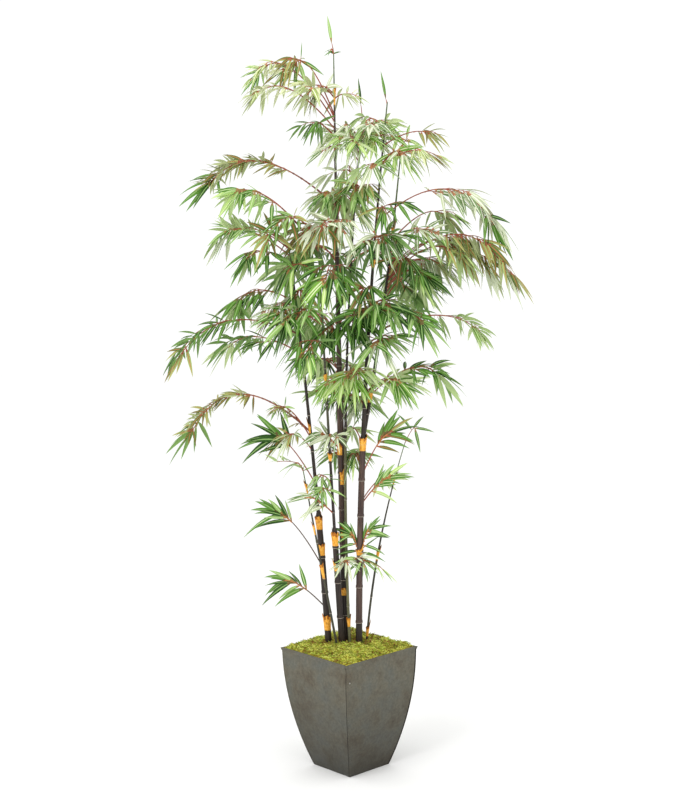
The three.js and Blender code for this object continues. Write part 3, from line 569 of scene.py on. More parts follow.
def make_bright_rivet():
    """Zinc-plated rivet head: smooth and bright, so that it shows as one small glint."""
    material, tree, shader = new_material("zinc_rivet", {"Metallic": 1.0})
    place = add_node(tree, "ShaderNodeTexCoord", {}).outputs["Object"]
    rub = add_node(
        tree, "ShaderNodeTexNoise", {"Scale": per_mm(1.2), "Detail": 3.0}, [("Vector", place)]
    )
    colour = add_node(
        tree, "ShaderNodeValToRGB", {"stops": [(0.3, "#8d8c86"), (0.7, "#b4b3ad")]},
        [("Fac", rub.outputs["Fac"])],
    )
    gloss = add_node(
        tree, "ShaderNodeMapRange", {"To Min": 0.22, "To Max": 0.4},
        [("Value", rub.outputs["Fac"])],
    )
    tree.links.new(colour.outputs["Color"], shader.inputs["Base Color"])
    tree.links.new(gloss.outputs["Result"], shader.inputs["Roughness"])
    return material


def make_moss_bed():
    """Dyed sheet moss, pressed flat: yellow-green with brown hollows between its tufts."""
    material, tree, shader = new_material("moss_bed", {"Roughness": 0.95, "Specular IOR Level": 0.2})
    place = add_node(tree, "ShaderNodeTexCoord", {}).outputs["Object"]
    tufts = add_node(
        tree, "ShaderNodeTexNoise", {"Scale": per_mm(7), "Detail": 4.0, "Roughness": 0.65},
        [("Vector", place)],
    )
    stops = [(0.3, "#4e3a16"), (0.45, "#857828"), (0.58, "#b0ac3a"), (0.74, "#d2cc60")]
    colour = add_node(tree, "ShaderNodeValToRGB", {"stops": stops}, [("Fac", tufts.outputs["Fac"])])
    bump = add_node(
        tree, "ShaderNodeBump", {"Strength": 0.9, "Distance": 3.0 * MM},
        [("Height", tufts.outputs["Fac"])],
    )
    tree.links.new(colour.outputs["Color"], shader.inputs["Base Color"])
    tree.links.new(bump.outputs["Normal"], shader.inputs["Normal"])
    return material


def make_culm(name, dark, middle, light):
    """Natural cane, dyed through and lacquered: long streaks along the fibre, cloudier
    patches where the dye took less, and a soft gloss that draws a light line down it.
    Real fibre is 0.3 mm wide; it is drawn 2.2 mm wide, so that it shows."""
    material, tree, shader = new_material(name, {"Specular IOR Level": 0.35})
    place = add_node(tree, "ShaderNodeTexCoord", {}).outputs["Object"]
    along_fibre = add_node(
        tree, "ShaderNodeMapping", {"Scale": (per_mm(2.2), per_mm(2.2), per_mm(70))},
        [("Vector", place)],
    )
    fibre = add_node(
        tree, "ShaderNodeTexNoise", {"Scale": 1.0, "Detail": 4.0, "Roughness": 0.6},
        [("Vector", along_fibre.outputs["Vector"])],
    )
    streaks = add_node(
        tree, "ShaderNodeValToRGB", {"stops": [(0.3, dark), (0.52, middle), (0.75, light)]},
        [("Fac", fibre.outputs["Fac"])],
    )
    along_cane = add_node(
        tree, "ShaderNodeMapping", {"Scale": (per_mm(22), per_mm(22), per_mm(120))},
        [("Vector", place)],
    )
    patches = add_node(
        tree, "ShaderNodeTexNoise", {"Scale": 1.0, "Detail": 3.0},
        [("Vector", along_cane.outputs["Vector"])],
    )
    worn = add_node(
        tree, "ShaderNodeMapRange", {"From Min": 0.5, "From Max": 0.75, "To Max": 0.5},
        [("Value", patches.outputs["Fac"])],
    )
    colour = add_node(
        tree, "ShaderNodeMix", {"data_type": "RGBA", 7: linear(light)},
        [(0, worn.outputs["Result"]), (6, streaks.outputs["Color"])],
    )
    gloss = add_node(
        tree, "ShaderNodeMapRange", {"To Min": 0.32, "To Max": 0.52},
        [("Value", fibre.outputs["Fac"])],
    )
    bump = add_node(
        tree, "ShaderNodeBump", {"Strength": 0.4, "Distance": 0.3 * MM},
        [("Height", fibre.outputs["Fac"])],
    )
    tree.links.new(colour.outputs[2], shader.inputs["Base Color"])
    tree.links.new(gloss.outputs["Result"], shader.inputs["Roughness"])
    tree.links.new(bump.outputs["Normal"], shader.inputs["Normal"])
    return material


def make_sheath(name, dark, middle, light):
    """Dried culm sheath: thin, papery and ribbed along its length, amber with paler ribs.
    Real ribs are 0.5 mm apart; they are drawn 1.4 mm apart, so that they show."""
    material, tree, shader = new_material(name, {"Roughness": 0.7, "Specular IOR Level": 0.25})
    place = add_node(tree, "ShaderNodeTexCoord", {}).outputs["Object"]
    upwards = add_node(
        tree, "ShaderNodeMapping", {"Scale": (per_mm(1.4), per_mm(1.4), per_mm(26))},
        [("Vector", place)],
    )
    ribs = add_node(
        tree, "ShaderNodeTexNoise", {"Scale": 1.0, "Detail": 3.0, "Roughness": 0.6},
        [("Vector", upwards.outputs["Vector"])],
    )
    clouds = add_node(
        tree, "ShaderNodeTexNoise", {"Scale": per_mm(10), "Detail": 3.0, "Roughness": 0.6},
        [("Vector", place)],
    )
    ribbed, toned = (
        add_node(
            tree, "ShaderNodeValToRGB", {"stops": [(0.32, dark), (0.49, middle), (0.68, light)]},
            [("Fac", pattern.outputs["Fac"])],
        )
        for pattern in (ribs, clouds)
    )
    colour = add_node(
        tree, "ShaderNodeMix", {"data_type": "RGBA", 0: 0.5},
        [(6, ribbed.outputs["Color"]), (7, toned.outputs["Color"])],
    )
    bump = add_node(
        tree, "ShaderNodeBump", {"Strength": 0.6, "Distance": 0.4 * MM},
        [("Height", ribs.outputs["Fac"])],
    )
    tree.links.new(colour.outputs[2], shader.inputs["Base Color"])
    tree.links.new(bump.outputs["Normal"], shader.inputs["Normal"])
    return material


def make_bark():
    """Moulded plastic over wire, sprayed russet over tan: mottled, with a dull satin gloss."""
    material, tree, shader = new_material("bough_russet", {"Roughness": 0.55})
    place = add_node(tree, "ShaderNodeTexCoord", {}).outputs["Object"]
    mottle = add_node(
        tree, "ShaderNodeTexNoise", {"Scale": per_mm(9), "Detail": 4.0, "Roughness": 0.6},
        [("Vector", place)],
    )
    stops = [(0.3, "#4a261c"), (0.52, "#7c4230"), (0.74, "#a36443")]
    colour = add_node(tree, "ShaderNodeValToRGB", {"stops": stops}, [("Fac", mottle.outputs["Fac"])])
    bump = add_node(
        tree, "ShaderNodeBump", {"Strength": 0.5, "Distance": 0.4 * MM},
        [("Height", mottle.outputs["Fac"])],
    )
    tree.links.new(colour.outputs["Color"], shader.inputs["Base Color"])
    tree.links.new(bump.outputs["Normal"], shader.inputs["Normal"])
    return material


def make_plain(name, colour, roughness, shine=0.5):
    """One flat colour. The leaves, twigs and strands are many small shapes, so their
    variety comes from dealing these colours out, and not from a pattern on each."""
    settings = {"Base Color": linear(colour), "Roughness": roughness, "Specular IOR Level": shine}
    return new_material(name, settings)[0]


def lerp(low, high, share):
    return low + (high - low) * share


def pointing(azimuth, elevation):
    """A unit vector from its azimuth and its angle over the level."""
    a, e = math.radians(azimuth), math.radians(elevation)
    return Vector((math.cos(e) * math.cos(a), math.cos(e) * math.sin(a), math.sin(e)))


def new_piece(name, mesh, materials, replaces=(), sharp=38):
    """A finished mesh as a piece of the plant: scaled to metres, shaded smooth except over
    edges sharper than that angle, riding on the plant and standing for frame nodes."""
    mesh.name = name
    mesh.transform(Matrix.Scale(MM, 4))
    for material in materials:
        mesh.materials.append(material)
    mesh.shade_smooth()
    mesh.set_sharp_from_angle(angle=math.radians(sharp))
    piece = bpy.data.objects.new(name, mesh)
    bpy.context.scene.collection.objects.link(piece)
    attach(piece, "root")
    if replaces:
        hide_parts(*replaces)
    return piece


def to_mesh(bm):
    mesh = bpy.data.meshes.new("mesh")
    bm.to_mesh(mesh)
    bm.free()
    return mesh


def wrap_grid(rows, columns, place, kind=None):
    """A flat grid bent into a tube whose two sides meet: place gives the corner at a row and
    a column, and kind the material of the face that starts there."""
    bm = bmesh.new()
    bmesh.ops.create_grid(bm, x_segments=columns, y_segments=rows, size=0.5)
    for face in bm.faces if kind else ():
        middle = face.calc_center_median()
        face.material_index = kind(int((middle.y + 0.5) * rows), int((middle.x + 0.5) * columns))
    for vert in bm.verts:
        column = round((vert.co.x + 0.5) * columns) % columns
        row = round((vert.co.y + 0.5) * rows)
        vert.co = place(row, column)
    bmesh.ops.remove_doubles(bm, verts=bm.verts, dist=1e-4)
    return bm


def close_ends(bm):
    """Caps the open ends of a tube and turns every face outwards."""
    open_edges = [edge for edge in bm.edges if edge.is_boundary]
    bmesh.ops.holes_fill(bm, edges=open_edges, sides=0)
    bmesh.ops.recalc_face_normals(bm, faces=bm.faces)


# Planter


def pot_corner(z):
    """Half the diagonal of the planter's outside at a height."""
    below = 1 - min(z / POT_HEIGHT, 1)
    return (POT_FOOT_SIDE + (POT_RIM_SIDE - POT_FOOT_SIDE) * (1 - below * below)) / math.sqrt(2)


def pot_columns():
    """Columns of one side: a distance and a share of the side's length, which together give
    the place along it, and how far the sheet stands out there."""
    columns = [(distance, 0, relief) for distance, relief in SEAM_START]
    first, last = SEAM_START[-1][0], SEAM_END[0][0]
    for i in range(1, POT_FOLDS):
        share = i / POT_FOLDS
        columns.append((first - (first + last) * share, share, 0.0))
    return columns + [(-distance, 1, relief) for distance, relief in SEAM_END]


def pot_rows():
    """Height, inset and share of relief of each level: up the outside, over the hem and down
    the inside to the floor."""
    hem_foot = POT_HEIGHT - HEM_HEIGHT
    rows = list(FOOT_PROFILE)
    rows += [(hem_foot * i / POT_LEVELS, 0.0, 1.0) for i in range(1, POT_LEVELS)]
    for height, profile in ((hem_foot, HEM_PROFILE), (POT_HEIGHT, RIM_PROFILE)):
        rows += [(height + above, inset, share) for above, inset, share in profile]
    inside = POT_LEVELS // 2
    rows += [(lerp(hem_foot, POT_FLOOR, i / inside), POT_WALL, 0.0) for i in range(inside + 1)]
    return rows


def make_planter(steel, painted_shadow):
    """One folded sheet-metal tub: four bowed panels, a hem round the rim, and a folded seam
    with a groove beside it up each corner, drawn out into an ear at the rim. The groove's faces are
    painted near-black as shadow."""
    columns, rows = pot_columns(), pot_rows()
    sides = [Vector((math.cos(a), math.sin(a), 0)) for a in (-math.pi / 2, 0, math.pi / 2, math.pi)]
    groove = range(len(columns) - 5, len(columns) - 2)

    def place(row, column):
        z, inset, relief_share = rows[row]
        side, position = divmod(column, len(columns))
        here, there = sides[side], sides[(side + 1) % 4]
        corner = pot_corner(z)
        length = corner * math.sqrt(2)
        distance, share, relief = columns[position]
        along = distance + share * length
        run = (there - here).normalized()
        out = (there + here).normalized()
        point = here * corner + run * along
        edge = min(along, length - along)
        flat = min(edge / DENTS_FROM_SEAM, 1) * min((POT_HEIGHT - z) / DENTS_FROM_RIM, 1)
        flat *= 1 if relief_share else 0
        dent = DENT_DEPTH * flat * noise.noise((point + UP * z) / DENT_SIZE)
        outward = out if position else here * math.sqrt(2)
        point += outward * (relief * relief_share - inset + dent)
        if side == 3:
            aside = (length - along) / DIMPLE_SPAN[0]
            above = (z - DIMPLE_HEIGHT) / DIMPLE_SPAN[1]
            point -= out * DIMPLE_DEPTH * math.exp(-(aside**2 + above**2))
        ear = max(1 - edge / EAR_SPAN, 0) * max(1 - (POT_HEIGHT - z) / EAR_SPAN, 0)
        nearest = here if along < length / 2 else there
        point += nearest * EAR_REACH * ear * ear
        point.z = z
        return point

    # The groove's faces take the second material, a near-black painted shadow that darkens the groove
    # more than its depth would
    def kind(row, column):
        outside = rows[row][2] > 0 and rows[row][0] < POT_HEIGHT - HEM_HEIGHT
        return 1 if outside and column % len(columns) in groove else 0

    bm = wrap_grid(len(rows) - 1, len(columns) * 4, place, kind)
    close_ends(bm)
    new_piece("planter_tub", to_mesh(bm), [steel, painted_shadow], ["planter"], sharp=30)


def make_rivets(zinc):
    """A domed rivet beside the seams at the front and the back, a little below the rim."""
    bm = bmesh.new()
    z = POT_HEIGHT - RIVET_DOWN
    corner = pot_corner(z)
    for degrees in (0, 180):
        turn = Matrix.Rotation(math.radians(degrees), 4, "Z")
        run = Vector((1, 1, 0)).normalized()
        out = Vector((1, -1, 0)).normalized()
        place = Vector((0, -corner, z)) + run * RIVET_IN
        facing = Matrix.Translation(place) @ out.to_track_quat("Z", "Y").to_matrix().to_4x4()
        flat = Matrix.Diagonal((1, 1, RIVET_DOME, 1))
        bmesh.ops.create_uvsphere(
            bm, u_segments=16, v_segments=8, radius=RIVET_RADIUS, matrix=turn @ facing @ flat
        )
    new_piece("planter_rivets", to_mesh(bm), [zinc], sharp=60)


# Moss


def moss_height(x, y):
    """Height of the moss over a place in the planter: a low mound with soft lumps."""
    brim = pot_corner(POT_HEIGHT - MOSS_SINK) - POT_WALL * math.sqrt(2)
    share = min((abs(x) + abs(y)) / brim, 1)
    mound = POT_HEIGHT - MOSS_SINK + (MOSS_MOUND + MOSS_SINK) * (1 - share**4)
    lumps = noise.fractal(Vector((x, y, 0)) / MOSS_LUMP_SIZE, *MOSS_LUMP_NOISE)
    return mound + MOSS_LUMP * lumps * (1 - 0.5 * share**8)


def make_moss_mound(bed):
    """The bed: a lumpy sheet over the fill, with a skirt down inside the planter."""
    brim = pot_corner(POT_HEIGHT - MOSS_SINK) - (POT_WALL + MOSS_WALL_GAP) * math.sqrt(2)
    bm = bmesh.new()
    bmesh.ops.create_grid(bm, x_segments=MOSS_CELLS, y_segments=MOSS_CELLS, size=brim / math.sqrt(2))
    bmesh.ops.rotate(bm, verts=bm.verts, matrix=Matrix.Rotation(math.radians(45), 3, "Z"))
    for vert in bm.verts:
        vert.co.z = moss_height(vert.co.x, vert.co.y)
    rim = [edge for edge in bm.edges if edge.is_boundary]
    skirt = bmesh.ops.extrude_edge_only(bm, edges=rim)["geom"]
    floor = POT_HEIGHT - MOSS_DEPTH
    narrower = (pot_corner(floor) - (POT_WALL + MOSS_SKIRT_GAP) * math.sqrt(2)) / brim
    for vert in [item for item in skirt if isinstance(item, bmesh.types.BMVert)]:
        vert.co = Vector((vert.co.x * narrower, vert.co.y * narrower, floor))
    close_ends(bm)
    new_piece("moss_mound", to_mesh(bm), [bed], ["moss"], sharp=80)


def seeded_random(seed):
    """The same sequence of numbers from 0 to 1 for the same seed."""
    state = seed * 7919 + 17
    while True:
        state = state * 48271 % 2147483647
        yield state / 2147483647


def template_of(bm):
    """A shape's corners and faces, to be copied many times."""
    bm.verts.ensure_lookup_table()
    corners = np.array([vert.co[:] for vert in bm.verts])
    faces = [[vert.index for vert in face.verts] for face in bm.faces]
    kinds = np.array([face.material_index for face in bm.faces])
    bm.free()
    return corners, faces, kinds


def joined_copies(template, places, kinds):
    """One mesh of many copies of a shape: places holds the corners of each copy, and kinds
    the material of each of its faces."""
    corners, faces, _ = template
    count = len(corners)
    every = [[index + copy * count for index in face] for copy in range(len(places)) for face in faces]
    mesh = bpy.data.meshes.new("mesh")
    mesh.from_pydata(np.concatenate(places), [], every)
    mesh.polygons.foreach_set("material_index", np.concatenate(kinds).astype(np.int32))
    return mesh


def make_moss_strands(tones):
    """Short curled strands lying over each other all over the bed, in a few tones."""
    rows, sides = 3, 3
    radii = (0, 1, 0.8, 0)

    def place(row, column):
        turn = math.tau * column / sides
        along = row / rows
        return Vector((along, radii[row] * math.cos(turn), radii[row] * math.sin(turn)))

    template = template_of(wrap_grid(rows, sides, place))
    shape, faces, _ = template
    run = shape[:, 0]
    random = seeded_random(MOSS_SEED)
    brim = pot_corner(POT_HEIGHT) - POT_WALL * math.sqrt(2)
    places, kinds = [], []
    while len(places) < MOSS_STRANDS:
        x, y = ((2 * next(random) - 1) * brim for _ in range(2))
        if abs(x) + abs(y) > brim - MOSS_EDGE:
            continue
        root = Vector((x, y, moss_height(x, y) - STRAND_SUNK))
        heading, rise = 360 * next(random), lerp(*STRAND_RISES, next(random) ** 1.5)
        length = lerp(*STRAND_LENGTHS, next(random))
        along = pointing(heading, rise)
        across = UP.cross(along).normalized()
        third = along.cross(across)
        curl = lerp(-STRAND_CURL, STRAND_CURL, next(random)) * length
        strand = np.outer(run * length, along) + np.outer(shape[:, 1] * STRAND_RADIUS, across)
        strand += np.outer(shape[:, 2] * STRAND_RADIUS, third) + np.outer(run**2 * curl, across)
        strand -= np.outer(run**2 * STRAND_SAG * length, UP)
        end = root + along * length
        if abs(end.x) + abs(end.y) > brim + MOSS_EDGE:
            continue
        places.append(strand + np.array(root))
        patch = noise.noise(Vector((x, y, 40)) / MOSS_PATCH_SIZE)
        near = min((Vector((x, y)) - Vector(culm["foot"])).length for culm in CULMS.values())
        hollow = MOSS_HOLLOW * math.exp(-((near / MOSS_HOLLOW_SIZE) ** 2))
        pick = next(random) + MOSS_PATCHES * patch - hollow
        kinds.append(np.full(len(faces), sum(pick > level for level in MOSS_DEAL)))
    mesh = joined_copies(template, places, kinds)
    new_piece("moss_strands", mesh, tones, sharp=180)


# Culms


def culm_centre(culm, z):
    """The middle of a culm at a height."""
    start = POT_HEIGHT if culm["bottom"] == SOCKET_FLOOR else culm["bottom"]
    t = (z - start) / (culm["top"] - start)
    foot, bend, tip = (Vector((*culm[key], 0)) for key in ("foot", "bend", "tip"))
    centre = (1 - t) ** 2 * foot + 2 * t * (1 - t) * bend + t**2 * tip
    centre.z = z
    return centre


def culm_radius(culm, z):
    """The radius of a culm at a height, without its nodes."""
    foot, below, above, tip = culm["radii"]
    if z <= culm["step"]:
        return lerp(foot, below, (z - culm["bottom"]) / (culm["step"] - culm["bottom"]))
    return lerp(above, tip, (z - culm["step"]) / (culm["top"] - culm["step"]))


def culm_nodes(culm):
    """Heights of all the nodes of a culm."""
    count = int((culm["top"] - NODE_UNDER_TIP - culm["node"]) / INTERNODE) + 1
    return [culm["node"] + INTERNODE * i for i in range(count)]


def culm_relief(culm, z, turn, nodes):
    """How far a culm's surface stands out: a scar lip and a ridge at each node, a slight
    waist under it, and a flat groove above it, on one side and then on the other."""
    scale = min(culm_radius(culm, z) / THICK_CULM, NODE_GROWTH)
    relief = 0.0
    for i, node in enumerate(nodes):
        above = z - node
        if not -NODE_REACH < above < GROOVE_LENGTH:
            continue
        for depth, height, half in NODE_FORMS:
            relief += depth * math.exp(-(((above - height) / half) ** 2))
        if above > GROOVE_START:
            groove_turn = GROOVE_SIDE + 180 * (i % 2)
            off = (turn - groove_turn + 180) % 360 - 180
            fade_in = (above - GROOVE_START) / GROOVE_FADES[0]
            fade = min(fade_in, (GROOVE_LENGTH - above) / GROOVE_FADES[1], 1)
            relief -= GROOVE_DEPTH * fade * math.exp(-((off / GROOVE_HALF_TURN) ** 2))
    return relief * scale


def make_culm_piece(name, culm, canes):
    """A round cane with its nodes, set on the frame's culm."""
    nodes = culm_nodes(culm)
    heights = {float(culm["bottom"]), float(culm["top"]), culm["top"] - CULM_END_LENGTH}
    steps = int((culm["top"] - culm["bottom"]) / CULM_STEP)
    heights |= {round(lerp(culm["bottom"], culm["top"], i / steps), 1) for i in range(steps)}
    heights |= {node + offset for node in nodes for offset in NODE_OFFSETS}
    heights = sorted(h for h in heights if culm["bottom"] <= h <= culm["top"])
    sides = THICK_CULM_SIDES if culm["radii"][0] > THICK_CULM else THIN_CULM_SIDES

    def place(row, column):
        z = heights[row]
        turn = 360 * column / sides
        end = CULM_END if z == culm["top"] else 1.0
        radius = culm_radius(culm, z) * end + culm_relief(culm, z, turn, nodes)
        return culm_centre(culm, z) + pointing(turn, 0) * radius

    def kind(row, _):
        z = (heights[row] + heights[row + 1]) / 2
        if any(NODE_BLOOM[0] < z - node < NODE_BLOOM[1] for node in nodes):
            return len(culm["dyes"])
        return sum(z > start for _, start in culm["dyes"]) - 1

    bm = wrap_grid(len(heights) - 1, sides, place, kind)
    close_ends(bm)
    materials = [canes[dye] for dye, _ in culm["dyes"]] + [canes["bloom"]]
    new_piece(f"cane_{name}", to_mesh(bm), materials, [f"culm_{name}"], sharp=50)


def make_sheaths(name, culm, materials):
    """The papery sheaths left on a culm: tight round its foot, crumpled and open at the top,
    with a torn edge drawn out into a point on one side. Some wrap only part of the way."""
    sheets = bmesh.new()
    rows = SHEATH_ROWS
    for index, (foot, length, side, wrap, peak) in enumerate(culm["sheaths"]):
        columns = round(wrap / SHEATH_COLUMN)
        seed = Vector((foot * 0.37, index * 5.1, 0))

        def place(row, column):
            turn = side - wrap / 2 + wrap * column / columns
            off = math.radians(turn - side)
            x, y = math.cos(off), math.sin(off)
            ragged = noise.noise(seed + Vector((x, y, 0)) * SHEATH_WAVES)
            fine = noise.noise(seed + Vector((x, y, 3)) * SHEATH_TEETH)
            point = peak * (0.5 + 0.5 * x) ** 5
            torn_off = SHEATH_TEAR * (ragged + SHEATH_TOOTH * fine) - SHEATH_WORN
            top = length * (1 + torn_off) + point
            share = row / rows
            z = foot + top * share
            fold = Vector((x * SHEATH_FOLDS, y * SHEATH_FOLDS, z / SHEATH_CRUMPLE_SIZE))
            crumple = noise.noise(fold + seed)
            flare = SHEATH_FLARE * share**2.2 + SHEATH_SPREAD * share
            radius = culm_radius(culm, min(z, culm["top"])) + SHEATH_EASE + flare
            radius += SHEATH_CRUMPLE * share * (crumple + SHEATH_BULGE)
            return culm_centre(culm, z) + pointing(turn, 0) * radius

        bm = bmesh.new()
        bmesh.ops.create_grid(bm, x_segments=columns, y_segments=rows, size=0.5)
        for face in bm.faces:
            middle = face.calc_center_median()
            torn = noise.noise(seed + Vector((middle.x * SHEATH_PATCHES, 0, 7))) > SHEATH_BROWN
            face.material_index = 2 if torn and (middle.y + 0.5) * rows > rows - 2 else 0
        for vert in bm.verts:
            column = round((vert.co.x + 0.5) * columns)
            vert.co = place(round((vert.co.y + 0.5) * rows), column)
        bmesh.ops.remove_doubles(bm, verts=bm.verts, dist=1e-2)
        mesh = to_mesh(bm)
        sheets.from_mesh(mesh)
        bpy.data.meshes.remove(mesh)
    piece = new_piece(f"sheaths_{name}", to_mesh(sheets), materials, sharp=70)
    # The sheet's inside and its edges take the material that follows the outside's
    shell = piece.modifiers.new("thickness", "SOLIDIFY")
    shell.thickness = SHEATH_SHEET * MM
    shell.offset = -1
    shell.material_offset = 1
    shell.material_offset_rim = 1


# Boughs, stems, twigs and leaves


class Arch:
    """The arching stem of a spray. It leaves its root steeply, passes over its highest point
    and comes down to its tip."""

    def __init__(self, root, azimuth, reach, rise, fall):
        self.root = root
        self.azimuth = azimuth
        self.reach = reach
        self.fall = fall
        self.climb = 2 * rise + 2 * math.sqrt(rise * (rise - fall))

    def point(self, t):
        out = self.reach * (t + ARCH_EASE * t * (1 - t))
        height = self.climb * t + (self.fall - self.climb) * t * t
        return self.root + pointing(self.azimuth, 0) * out + UP * height

    def elevation(self, t):
        out = self.reach * (1 + ARCH_EASE * (1 - 2 * t))
        height = self.climb + 2 * (self.fall - self.climb) * t
        return math.degrees(math.atan2(height, out))

    def line(self, start=0.0, steps=STEM_POINTS):
        """Points along the arch from that share of it to its tip."""
        return [self.point(lerp(start, 1, i / steps)) for i in range(steps + 1)]

    def length(self):
        points = self.line(steps=ARCH_STEPS)
        return sum((b - a).length for a, b in zip(points, points[1:]))


def make_bough(name, arch, bare, material):
    """The bare stretch of a long stem: moulded with small joints and a knobbly skin."""
    length = bare * arch.length()
    joints = [BOUGH_NODE * (i + 1) for i in range(int(length / BOUGH_NODE))]

    def place(row, column):
        share = row / BOUGH_ROWS
        centre = arch.point(bare * share)
        along = pointing(arch.azimuth, arch.elevation(bare * share))
        across = UP.cross(along).normalized()
        third = along.cross(across)
        turn = math.tau * column / BOUGH_SIDES
        x, y = math.cos(turn), math.sin(turn)
        knobs = BOUGH_KNOB * noise.noise(centre / BOUGH_KNOB_SIZE + Vector((x, y, 0)))
        past = [(share * length - joint) / BOUGH_SWELL_HALF for joint in joints]
        swell = sum(BOUGH_SWELL * math.exp(-(p**2)) for p in past)
        radius = lerp(*BOUGH_RADII, share) + knobs + swell
        return centre + (across * x + third * y) * radius

    bm = wrap_grid(BOUGH_ROWS, BOUGH_SIDES, place)
    close_ends(bm)
    new_piece(f"arm_{name}", to_mesh(bm), [material], [f"bough_{name}"], sharp=60)


def make_rods(name, rods, material):
    """One mesh of many thin round rods: each is its points and its radii at the two ends."""
    curve = bpy.data.curves.new(name, "CURVE")
    curve.dimensions = "3D"
    curve.bevel_depth = 1.0
    curve.bevel_resolution = 1
    curve.use_fill_caps = True
    for points, (thick, thin) in rods:
        spline = curve.splines.new("POLY")
        spline.points.add(len(points) - 1)
        for i, (target, point) in enumerate(zip(spline.points, points)):
            target.co = (*point, 1)
            target.radius = lerp(thick, thin, i / (len(points) - 1))
    holder = bpy.data.objects.new(name, curve)
    bpy.context.scene.collection.objects.link(holder)
    bpy.context.view_layer.update()
    bm = bmesh.new()
    raw = bpy.data.meshes.new_from_object(holder)
    bm.from_mesh(raw)
    bpy.data.meshes.remove(raw)
    bpy.data.objects.remove(holder)
    bmesh.ops.remove_doubles(bm, verts=bm.verts, dist=1e-3)
    new_piece(name, to_mesh(bm), [material], sharp=60)


def half_width(x):
    """Half the width of a leaf along its length, from its stalk to its point, as a share."""
    if x <= LEAF_STALK:
        return STALK_HALF
    share = (x - LEAF_STALK) / (1 - LEAF_STALK)
    return max(0.5 * math.sin(math.pi * share**LEAF_BELLY) ** LEAF_FULLNESS, POINT_HALF)


def leaf_template():
    """A leaf along +X: a top folded along the midrib, with a stripe down its middle, and an
    underside a little below it that meets it at the edge. The first step is the stalk."""
    bm = bmesh.new()
    bmesh.ops.create_grid(bm, x_segments=LEAF_STEPS, y_segments=4, size=0.5)
    sides = (-1, -LEAF_STRIPE, 0, LEAF_STRIPE, 1)
    shares = {}
    for vert in bm.verts:
        step = round((vert.co.x + 0.5) * LEAF_STEPS)
        side = sides[round((vert.co.y + 0.5) * 4)]
        x = (step / LEAF_STEPS) ** LEAF_STEP_EASE
        half = half_width(x) if step < LEAF_STEPS else 0
        shares[vert] = (side, step)
        vert.co = Vector((x, side * half, -LEAF_FOLD * abs(side) * half))
    for face in bm.faces:
        inner = all(abs(shares[vert][0]) <= LEAF_STRIPE for vert in face.verts)
        step = min(shares[vert][1] for vert in face.verts)
        face.material_index = STALK if step == 0 else MIDRIB if inner else BLADE
    top = list(bm.faces)
    copy = bmesh.ops.duplicate(bm, geom=list(bm.verts) + list(bm.edges) + top)
    for old, new in copy["vert_map"].items():
        if old in shares and abs(shares[old][0]) < 1 and 0 < shares[old][1] < LEAF_STEPS:
            new.co.z -= LEAF_SHEET
    under = [item for item in copy["geom"] if isinstance(item, bmesh.types.BMFace)]
    bmesh.ops.reverse_faces(bm, faces=under)
    for face in under:
        face.material_index = UNDERSIDE
    bmesh.ops.remove_doubles(bm, verts=bm.verts, dist=1e-5)
    bmesh.ops.dissolve_degenerate(bm, edges=bm.edges, dist=1e-6)
    return template_of(bm)


def clear_of_culms(points):
    """True if every point is clear of all the culms."""
    for point in points:
        for culm in CULMS.values():
            if not culm["bottom"] < point.z < culm["top"]:
                continue
            if (point - culm_centre(culm, point.z)).length < culm_radius(culm, point.z) + LIMB_CLEARANCE:
                return False
    return True


def leaning(direction, lean):
    """The upward normal of a plane along a direction, level across it or leaning about it."""
    normal = direction.cross(UP.cross(direction).normalized())
    return Matrix.Rotation(math.radians(lean), 3, direction) @ normal


def along_twig(root, direction, length, share):
    """The place at a share of a twig's length. The twig bows up a little in its middle."""
    return root + direction * length * share + UP * TWIG_BOW * 4 * share * (1 - share)


Leaf = namedtuple("Leaf", "root along across length width droop tone shade")


